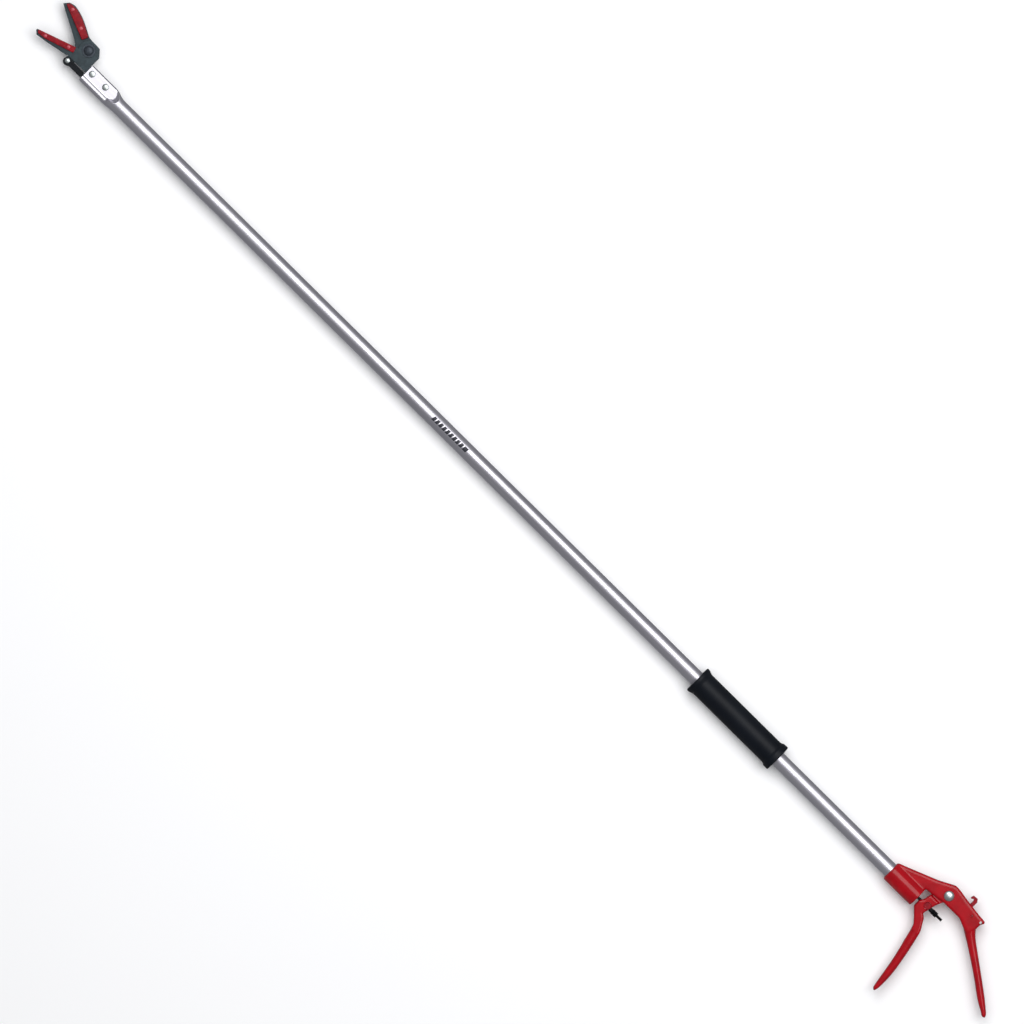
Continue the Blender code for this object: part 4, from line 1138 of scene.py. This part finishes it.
@dataclass
class TriggerLever:
    """The front lever: a thin hub in the casting's slot, a fork round the trunnion, and the grip."""

    half: float = 7.0 * MM
    neck_half: float = 4.0 * MM
    hub_radius: float = 11.5 * MM
    tail_radius: float = 16.5 * MM
    pocket_half: float = 3.4 * MM
    grid: float = 0.55 * MM

    def neck(self) -> bpy.types.Mesh:
        """The hub with the lug that the lock slide catches, and the neck above it."""
        centre = (0.0, 0.0)
        outline = mm((18.0, 15.5), (18.6, 19.0), (2.6, 19.0), (0.4, 13.5))
        outline += arc(centre, self.hub_radius, 95.0, 152.5)
        outline += arc(centre, self.tail_radius, 152.5, 166.5)
        outline += arc(centre, self.hub_radius, 166.5, 349.0)
        outline = moved(outline, LAYOUT.trigger_pivot)
        return plate("neck", [outline], LEVEL - self.neck_half, LEVEL + self.neck_half, 0.3 * MM, 2)

    def fork(self) -> list[bpy.types.Mesh]:
        """Layers of the thick block that holds the trunnion."""
        nose = from_pivot((18.0, 15.5)) + from_trunnion((9.1, -3.0, 3), (13.1, 2.0, 3), (13.1, 12.0, 4),
                                                        (3.2, 22.0), (-3.9, 30.0), (-6.6, 38.0))
        back = from_trunnion((-19.4, 38.0), (-16.9, 30.0), (-8.2, 15.2), (-2.8, 11.0, 0.8),
                             (-6.0, -3.0, 3))
        outline = rounded(nose + back + from_pivot((1.6, 15.5)))
        return pillow("fork", outline, LEVEL - self.half, LEVEL + self.half, 2.4 * MM)

    def grip(self) -> bpy.types.Mesh:
        """The curved lever that the fingers pull."""
        front = from_trunnion((8.0, 15.0), (3.2, 22.0), (-3.9, 30.0), (-8.9, 49.0), (-16.4, 80.0),
                              (-23.4, 121.0), (-25.3, 127.5), (-27.4, 129.4))
        rear = from_trunnion((-7.6, 15.6), (-11.6, 21.4), (-16.9, 30.0), (-21.9, 49.0), (-27.9, 80.0),
                             (-30.4, 101.0), (-30.6, 119.0), (-29.4, 128.6))
        return lever("grip", flowing(front), flowing(rear), lambda share: self.half, LEVEL, power=2.35,
                     nose=0.05)

    def build(self) -> None:
        """Cast, machine and enamel the trigger."""
        skin = cast("trigger", [self.neck(), *self.fork(), self.grip()], self.grid, 6)
        pocket = from_trunnion((16.1, 3.8), (3.6, 5.6), (-1.3, 7.9), (-5.4, 11.5), (-12.0, 11.5),
                               (-12.0, -2.8), (-5.5, -4.6), (-0.4, -6.5), (3.1, -6.5), (8.6, -9.4),
                               (11.4, -12.0))
        tools = [plate("pocket", [pocket], LEVEL - self.pocket_half, LEVEL + self.pocket_half),
                 bar("trunnion_hole", 5.3 * MM, -20 * MM, 20 * MM, LAYOUT.trunnion),
                 bar("pivot_hole", 4.3 * MM, -20 * MM, 20 * MM, LAYOUT.trigger_pivot)]
        mesh = cut(skin, tools)
        finished("cast_trigger", mesh, ENAMELLED_CASTING, Body.TRIGGER, "trigger_lever", sharp_deg=42,
                 crease=False)


@dataclass
class LockSlide:
    """The catch that holds the trigger shut, with its thumb hook."""

    half: float = 4.0 * MM
    travel: float = 6.0 * MM

    def build(self) -> None:
        """Make the slide with its guide window."""
        outline = from_pivot((-50.0, 3.0, 1), (-50.0, -5.8, 1), (-32.7, -5.8), (-32.7, -20.0, 3),
                             (-30.0, -24.0, 2), (-23.5, -23.4, 1.5), (-22.0, -18.6, 1), (-24.6, -18.4, 1),
                             (-26.0, -20.4, 1), (-27.7, -18.5, 1), (-27.7, -2.0), (-19.0, -2.0, 0.8),
                             (-19.0, 2.0, 0.8), (-34.5, 2.0), (-34.5, 3.0))
        pin = from_pivot((-40.0, -2.4))[0]
        reach = 1.8 * MM
        back, ahead = pin[0] - self.travel - reach, pin[0] + reach
        window = [(back, pin[1] - reach, reach), (ahead, pin[1] - reach, reach),
                  (ahead, pin[1] + reach, reach), (back, pin[1] + reach, reach)]
        mesh = plate("slide", [rounded(outline), rounded(window)], LEVEL - self.half, LEVEL + self.half,
                     0.5 * MM)
        finished("stamped_lock_slide", mesh, ENAMELLED_STEEL, Body.LOCK, "lock_slide")


# ---------------------------------------------------------------- head
@dataclass
class CuttingHead:
    """The bypass head: fixed plate, moving blade, a red holder on each, and the pivot bolt."""

    thickness: float = 3.0 * MM
    gap: float = 0.3 * MM
    fixed_deg: float = 19.0
    stroke_deg: float = 41.0
    jaw_line: float = 3.2 * MM
    holder_top: float = 4.3 * MM
    bolt_radius: float = 4.0 * MM
    crank: float = 31.0 * MM
    tang_y: tuple[float, float] = (-12.5 * MM, -0.9 * MM)
    rivet_radius: float = 1.5 * MM
    rivet_head: float = 2.6 * MM

    @property
    def half(self) -> float:
        """Half the plates' thickness."""
        return self.thickness / 2

    @property
    def blade_top(self) -> float:
        """Height of the moving blade's upper face over the tube's axis."""
        return -self.half - self.gap

    @property
    def blade_foot(self) -> float:
        """Height of the moving blade's underside."""
        return self.blade_top - self.thickness

    def fixed(self, *points: Sequence[float]) -> list[tuple]:
        """Millimetre points along and across the fixed jaw, as frame places."""
        return moved(swung(mm(*points), math.radians(self.fixed_deg)), LAYOUT.head_pivot)

    def swinging(self, *points: Sequence[float]) -> list[tuple]:
        """Millimetre points along and across the moving jaw, as frame places with the jaws open."""
        return moved(swung(mm(*points), math.radians(self.fixed_deg - self.stroke_deg)), LAYOUT.head_pivot)

    def hole(self, place: Sequence[float], radius: float) -> list[Point]:
        """A round hole's loop, 0.3 mm clear of what goes through it."""
        return arc(place, radius + self.gap, 0.0, 350.0, 10.0)

    def fixed_plate(self) -> None:
        """The stamped plate with its tang, hub and jaw."""
        axis, pivot = LAYOUT.axis, LAYOUT.head_pivot
        low, high = self.tang_y
        hub = 13.5 * MM
        x, y = pivot.x - axis.x, pivot.y - axis.y
        corners = [(x + 16.5 * MM, high), (-42 * MM, high, 4 * MM), (-42 * MM, low, 4 * MM),
                   (0.8 * MM, low), (0.8 * MM, y - 2.5 * MM, 2 * MM),
                   (x - 8.5 * MM, y - 11.8 * MM, 3 * MM), (x + 7.0 * MM, y - 12.2 * MM)]
        hub_end = self.fixed_deg + math.degrees(math.asin(self.jaw_line / hub))
        outline = moved(rounded(corners), axis) + arc(pivot, hub, -50.0, hub_end)
        outline += self.fixed((73.2, self.jaw_line / MM), (74.6, 5.0), (71.4, 10.6), (55.0, 13.8),
                              (24.7, 17.9))
        loops = [outline, self.hole(pivot, self.bolt_radius)]
        loops += [self.hole((axis.x + place * MM, axis.y - 5.6 * MM), 2.0 * MM)
                  for place in (-32.0, -7.5)]
        loops += [self.hole(place, self.rivet_radius) for place in self.fixed((26.0, 7.2), (60.0, 7.0))]
        mesh = plate("fixed", loops, LEVEL - self.half, LEVEL + self.half, 0.3 * MM, 2)
        finished("stamped_head_plate", mesh, COATED_STEEL, Body.POLE, "head_plate")

    def blade(self) -> None:
        """The moving blade: crank arm, hub and a cutting edge ground on its underside."""
        pivot = LAYOUT.head_pivot
        rise = math.radians(90.0 - self.stroke_deg / 2 + self.stroke_deg - self.fixed_deg)
        eye = (self.crank * math.cos(rise) / MM, self.crank * math.sin(rise) / MM)
        lower = flowing([(16.3, -7.4), (33.2, -9.0), (44.3, -9.4), (54.6, -8.4), (62.4, -6.4),
                         (68.4, -1.7)])
        edge = flowing([(71.0, 6.3), (58.9, 7.9), (47.7, 8.9), (36.3, 10.1), (25.2, 11.4), (15.0, 13.4)])
        outline = self.swinging(*lower, *edge, (eye[0] + 6.5, 0.6 * eye[1]))
        outline += moved(arc((0.0, 0.0), 5.5 * MM, -22.0, 158.0), self.swinging(eye)[0])
        outline += self.swinging((eye[0] - 6.0, 0.5 * eye[1]))
        outline += arc(pivot, 12.0 * MM, 128.0, 283.0)
        loops = [outline, self.hole(pivot, self.bolt_radius), self.hole(self.swinging(eye)[0], 2.0 * MM)]
        loops += [self.hole(place, self.rivet_radius)
                  for place in self.swinging((31.0, -2.4), (58.0, -2.2))]
        mesh = plate("blade", loops, LEVEL + self.blade_foot, LEVEL + self.blade_top, 0.25 * MM, 2)
        mesh = cut(mesh, [self.grinding()])
        made = finished("ground_blade", mesh, COATED_STEEL, Body.BLADE, "moving_blade")
        mesh.materials.append(GROUND_STEEL.material())
        for face in mesh.polygons:
            slope = -0.985 < face.normal.z < -0.85 and face.area > 4e-7
            face.material_index = 1 if slope else 0
        LOG.info("%s: %d faces ground", made.name, sum(face.material_index for face in mesh.polygons))

    def grinding(self) -> bpy.types.Mesh:
        """What the grinding wheel takes off under the cutting edge."""
        start, end = Vector((13.0, 13.55)) * MM, Vector((74.0, 5.92)) * MM
        along = (end - start).normalized()
        inward = Vector((along.y, -along.x))
        section = ((-2.0, -2.35), (0.0, -2.35), (6.0, -5.0), (6.0, -7.0), (-2.0, -7.0))
        turn = math.radians(self.fixed_deg - self.stroke_deg)
        rings = []
        for place in (start, end):
            ring = []
            for depth, height in section:
                spot = place + inward * depth * MM
                flat = moved(swung([tuple(spot)], turn), LAYOUT.head_pivot)[0]
                ring.append(Vector((*flat, LEVEL + height * MM)))
            rings.append(ring)
        return lofted("grinding", rings)

    def holders(self) -> None:
        """The two red gripping plates, each with its pair of rivets."""
        line = self.jaw_line / MM
        fixed = rounded(self.fixed((17.0, line), (72.0, line), (71.0, 7.8), (60.0, 10.4), (17.0, 11.4)))
        radii = (1.0, 1.5, 2.0, 8.0, 1.5)
        fixed = rounded([(*place[:2], radius * MM) for place, radius in zip(fixed, radii)])
        places = self.fixed((26.0, 7.2), (60.0, 7.0))
        loops = [fixed, *(self.hole(place, self.rivet_radius) for place in places)]
        low = LEVEL + self.half + self.gap
        mesh = plate("holder", loops, low, LEVEL + self.holder_top, 0.7 * MM, 4)
        finished("fixed_jaw_holder", mesh, ENAMELLED_STEEL, Body.POLE, "fixed_holder")
        self.holder_rivets("fixed_holder_rivet", Body.POLE, places, -self.half)
        moving = self.swinging((16.5, -6.4), (33.2, -8.2), (44.3, -8.7), (56.0, -7.4), (66.8, -2.4),
                               (68.2, line - 0.5), (16.5, line - 0.5))
        radii = (1.0, 9.0, 9.0, 9.0, 2.0, 1.0, 1.5)
        moving = rounded([(*place[:2], radius * MM) for place, radius in zip(moving, radii)])
        places = self.swinging((31.0, -2.4), (58.0, -2.2))
        loops = [moving, *(self.hole(place, self.rivet_radius) for place in places)]
        low = LEVEL + self.blade_top + self.gap
        mesh = plate("holder", loops, low, LEVEL + self.holder_top, 0.7 * MM, 4)
        finished("moving_jaw_holder", mesh, ENAMELLED_STEEL, Body.BLADE, "moving_holder")
        self.holder_rivets("moving_holder_rivet", Body.BLADE, places,
                           self.blade_foot - self.gap - 0.9 * MM)

    def holder_rivets(self, name: str, body: Body, places: Sequence[Point], foot: float) -> None:
        """The pair of domed rivets through a holder.

        Args:
            name: the CAD nodes' name without their number.
            body: the body that they ride on.
            places: where they stand.
            foot: height of their lower ends.
        """
        for index, place in enumerate(places):
            top = dome(self.rivet_head, 1.2 * MM, self.holder_top + self.gap, lip=0.2 * MM)
            shank = [(self.rivet_radius, top[-1][1])]
            if foot < self.blade_foot:
                seat = self.blade_foot - self.gap
                shank += [(self.rivet_radius, seat), (2.4 * MM, seat), (2.2 * MM, foot + 0.2 * MM)]
                end = [(1.9 * MM, foot), (0.0, foot)]
            else:
                end = [(self.rivet_radius, foot), (0.0, foot)]
            spot = Vector((*place[:2], LEVEL))
            node = f"{name}_{index + 1}"
            mesh = turned(node, top + shank + end, spot)
            # The rivet finish's lighter pink, against the darker red holder, is a painted highlight.
            finished(node + "_formed", mesh, RIVET_ENAMEL_PAINTED_HIGHLIGHT, body, node, crease=False)

    def pivot(self) -> None:
        """The pivot bolt, its washer and its nut."""
        pivot = LAYOUT.head_pivot
        low = self.half + self.gap
        top = low + 1.2 * MM
        bore, rim = self.bolt_radius + self.gap, 9.0 * MM
        washer = [(rim - 0.3 * MM, top), (rim, top - 0.3 * MM), (rim, low + 0.2 * MM),
                  (rim - 0.2 * MM, low), (bore, low), (bore, top)]
        mesh = turned("washer", washer, pivot, sides=72, ring=True)
        finished("turned_washer", mesh, PHOSPHATED_STEEL, Body.POLE, "head_pivot_washer", crease=False)
        seat, foot = top + self.gap, self.blade_foot - self.gap
        end = foot - 5.5 * MM
        profile = dome(6.5 * MM, 4.0 * MM, seat, 9, 1.0 * MM)
        profile += [(self.bolt_radius, seat), (self.bolt_radius, end + 0.5 * MM),
                    (self.bolt_radius - 0.5 * MM, end), (0.0, end)]
        mesh = turned("bolt", profile, pivot)
        finished("domed_pivot_bolt", mesh, PHOSPHATED_STEEL, Body.POLE, "head_pivot_bolt", crease=False)
        mesh = nut("nut", 13.0 * MM, foot - 4.5 * MM, foot, bore, pivot)
        finished("hex_pivot_nut", mesh, PHOSPHATED_STEEL, Body.POLE, "head_pivot_nut", crease=False)

    def build(self) -> None:
        """Make the head."""
        self.fixed_plate()
        self.blade()
        self.holders()
        self.pivot()


# ---------------------------------------------------------------- pull rod
@dataclass
class PullRod:
    """The rod through the tube, from the link bar at the head to its nuts behind the trigger."""

    radius: float = 2.0 * MM
    pitch: float = 0.8 * MM
    thread_depth: float = 0.42 * MM
    thread_length: float = 26.0 * MM
    bar_half: float = 1.5 * MM
    bar_low: float = 0.4 * MM
    bar_high: float = 8.573 * MM
    eye_y: float = 5.52 * MM
    eye_radius: float = 5.5 * MM
    tail: float = 131.0 * MM
    sleeve_radius: float = 4.0 * MM
    sleeve_length: float = 20.0 * MM
    trunnion_radius: float = 5.0 * MM
    rise: float = 0.981 * MM

    def link_bar(self, pin_x: float) -> None:
        """The flat bar in the tube's bead, welded to a sleeve on the rod.

        Args:
            pin_x: place of the link pin along the tube, from the tube's head end.
        """
        axis = LAYOUT.axis
        start = pin_x - self.tail
        eye = (pin_x, self.eye_y)
        inside = start + 0.4 * self.sleeve_length
        outline = [(inside, self.bar_high), (inside, self.bar_low), (eye[0] - 5.0 * MM, self.bar_low)]
        outline += arc(eye, self.eye_radius, -80.0, 110.0)
        outline += [(eye[0] - 7.0 * MM, self.bar_high)]
        half, reach = 2.3 * MM, self.rise + 2.3 * MM
        slot = rounded([(eye[0] + half, eye[1] - reach, half), (eye[0] + half, eye[1] + reach, half),
                        (eye[0] - half, eye[1] + reach, half), (eye[0] - half, eye[1] - reach, half)])
        mesh = plate("bar", [moved(outline, axis), moved(slot, axis)], LEVEL - self.bar_half,
                     LEVEL + self.bar_half, 0.25 * MM, 2)
        far = start + self.sleeve_length
        sleeve = bar("sleeve", self.sleeve_radius, start, far, axis, "X", 48, 0.4 * MM)
        bore = bar("bore", self.radius + 0.3 * MM, start - MM, far - 2 * MM, axis, "X")
        mesh = cut(merged(mesh, sleeve), [bore])
        finished("welded_link_bar", mesh, BLACKENED_STEEL, Body.ROD, "link_bar")

    def threaded(self) -> None:
        """The rod itself, plain through the tube and threaded at its rear end."""
        low, high = LAYOUT.rod_box
        sides, steps = 24, 6
        rings = []
        start = low.x
        count = int(self.thread_length / self.pitch * steps)
        for i in range(count + 1):
            place = start + self.pitch * i / steps
            ring = []
            for k in range(sides):
                angle = 2 * math.pi * k / sides
                turn = (i / steps - k / sides) % 1.0
                groove = abs(2 * turn - 1)
                fade = min(1.0, i / steps, (count - i) / steps)
                radius = self.radius - self.thread_depth * (1 - groove) * fade
                if i == 0:
                    radius = self.radius - self.thread_depth
                ring.append(Vector((place, LAYOUT.axis.y + radius * math.cos(angle),
                                    LEVEL + radius * math.sin(angle))))
            rings.append(ring)
        rings.append([Vector((high.x, place.y, place.z)) for place in rings[-1]])
        mesh = lofted("rod", rings)
        finished("threaded_rod", mesh, BLACKENED_STEEL, Body.ROD, "pull_rod", sharp_deg=60, crease=False)

    def nuts(self) -> None:
        """The two hexagon nuts that set the rod's length."""
        for name in ("rod_nut", "lock_nut"):
            low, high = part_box(name)
            mesh = nut(name, 7.0 * MM, low.x, high.x, self.radius + 0.3 * MM,
                       Vector((0.0, LAYOUT.axis.y, LEVEL)), "X")
            finished("hex_" + name, mesh, BLACKENED_STEEL, Body.ROD, name, crease=False)

    def trunnion(self) -> None:
        """The cross pin in the trigger's fork."""
        low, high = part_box("rod_trunnion")
        mesh = bar("pin", self.trunnion_radius, low.z - LEVEL, high.z - LEVEL, LAYOUT.trunnion,
                   chamfer=0.5 * MM)
        half = self.radius + 0.3 * MM
        reach = half + self.rise
        ring = rounded([(half, -reach, half), (half, reach, half), (-half, reach, half),
                        (-half, -reach, half)])
        rings = []
        for side in (-1, 1):
            rings.append([Vector((LAYOUT.trunnion.x + side * 8 * MM, LAYOUT.trunnion.y + across,
                                  LEVEL + up)) for up, across in ring])
        mesh = cut(mesh, [lofted("rod_slot", rings)])
        finished("slotted_trunnion", mesh, ENAMELLED_STEEL, Body.TRUNNION, "rod_trunnion", sharp_deg=30,
                 crease=False)

    def link_pin(self) -> None:
        """The pin that joins the blade's arm to the link bar."""
        low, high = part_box("link_pin")
        centre = (low + high) / 2
        foot, top = low.z - LEVEL, high.z - LEVEL
        seat, back = 1.8 * MM, foot + 1.0 * MM
        profile = dome(3.6 * MM, top - seat, seat, 7, 0.4 * MM)
        profile += [(self.radius, seat), (self.radius, back), (3.6 * MM, back),
                    (3.4 * MM, foot + 0.3 * MM), (3.0 * MM, foot), (0.0, foot)]
        mesh = turned("pin", profile, Vector((centre.x, centre.y, LEVEL)))
        finished("domed_link_pin", mesh, ZINC_PLATE, Body.BLADE, "link_pin", crease=False)

    def build(self) -> None:
        """Make the rod and what it carries."""
        low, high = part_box("link_pin")
        self.link_bar((low.x + high.x) / 2 - LAYOUT.axis.x)
        self.threaded()
        self.nuts()
        self.trunnion()
        self.link_pin()
        dressed(ZINC_PLATE, "spring_collar")
        dressed(BLACKENED_STEEL, "rod_spacer")
        dressed(MOULDED_NYLON, "rod_guide_1", "rod_guide_2", "rod_guide_3", "rod_guide_4", "spring_seat")
        dressed(DRAWN_WIRE, "return_spring")


# ---------------------------------------------------------------- studio
@dataclass
class Studio:
    """A plain pale floor, the camera, and two lights, of which gloss mirrors only the strip."""

    centre: tuple[float, float] = (0.0043, -0.0179)
    turn_deg: float = -135.3
    span: float = 1.3476
    distance: float = 12.0
    sensor: float = 36.0
    level: float = 0.02
    floor_size: float = 40.0
    strip_watts: float = 84.0
    strip_size: tuple[float, float] = (4.0, 2.2)
    strip_place: tuple[float, float, float] = (0.0, -1.2, 3.0)  # to one side, so that flats stay dull
    broad_watts: float = 66.0
    broad_size: tuple[float, float] = (4.0, 4.0)
    broad_place: tuple[float, float, float] = (0.0, 0.0, 3.5)
    world_level: float = 0.24

    def floor(self) -> None:
        """A large pale matt floor."""
        half = self.floor_size / 2
        mesh = bpy.data.meshes.new("floor")
        mesh.from_pydata([(-half, -half, 0), (half, -half, 0), (half, half, 0), (-half, half, 0)], [],
                         [(0, 1, 2, 3)])
        floor = bpy.data.objects.new("floor", mesh)
        bpy.context.scene.collection.objects.link(floor)
        made = bpy.data.materials.new("pale_paper")
        made.use_nodes = True
        shader = made.node_tree.nodes["Principled BSDF"]
        shader.inputs["Base Color"].default_value = linear("F7F7F8")
        shader.inputs["Roughness"].default_value = 0.95
        shader.inputs["Specular IOR Level"].default_value = 0.1
        mesh.materials.append(made)
        floor.visible_glossy = False  # lower flanks mirror the dim room, so that edges stay dark

    def light(self, name: str, watts: float, size: Sequence[float], place: Sequence[float],
              mirrored: bool) -> None:
        """An area light that looks at the floor's middle and isn't seen itself.

        Args:
            name: the light's name.
            watts: its power.
            size: its length along the tube and its width across it.
            place: where it hangs.
            mirrored: whether glossy surfaces show it.
        """
        data = bpy.data.lights.new(name, "AREA")
        data.shape = "RECTANGLE"
        data.size, data.size_y = size
        data.energy = watts
        lamp = bpy.data.objects.new(name, data)
        lamp.location = place
        toward = Vector((place[0], 0.0, 0.0)) - Vector(place)
        lamp.rotation_euler = toward.to_track_quat("-Z", "Y").to_euler()
        lamp.visible_camera = False
        lamp.visible_glossy = mirrored
        bpy.context.scene.collection.objects.link(lamp)

    def camera(self) -> None:
        """A long lens straight above, turned so that the pole lies corner to corner."""
        data = bpy.data.cameras.new("camera")
        data.sensor_width = self.sensor
        data.lens = self.sensor * self.distance / self.span
        data.clip_end = 100.0
        data.dof.use_dof = False
        camera = bpy.data.objects.new("camera", data)
        camera.location = (*self.centre, self.level + self.distance)
        camera.rotation_euler = (0.0, 0.0, math.radians(self.turn_deg))
        bpy.context.scene.collection.objects.link(camera)
        bpy.context.scene.camera = camera

    def build(self) -> None:
        """Set up the studio."""
        self.floor()
        self.light("strip", self.strip_watts, self.strip_size, self.strip_place, mirrored=True)
        self.light("broad", self.broad_watts, self.broad_size, self.broad_place, mirrored=False)
        bpy.context.scene.view_settings.view_transform = "Standard"
        world = bpy.data.worlds.new("studio")
        world.use_nodes = True
        back = world.node_tree.nodes["Background"]
        back.inputs["Color"].default_value = linear("F2F4F8")
        back.inputs["Strength"].default_value = self.world_level
        bpy.context.scene.world = world
        self.camera()


def main() -> None:
    """Build the looks and set up the studio."""
    logging.basicConfig(level=logging.INFO, format="%(name)s: %(message)s")
    assemblies = (PoleTube(), GripSleeve(), HandleCasting(), TriggerLever(), LockSlide(), CuttingHead(),
                  PullRod())
    for assembly in assemblies:
        LOG.info("building %s", type(assembly).__name__)
        assembly.build()
    Studio().build()


if __name__ == "__main__":
    main()
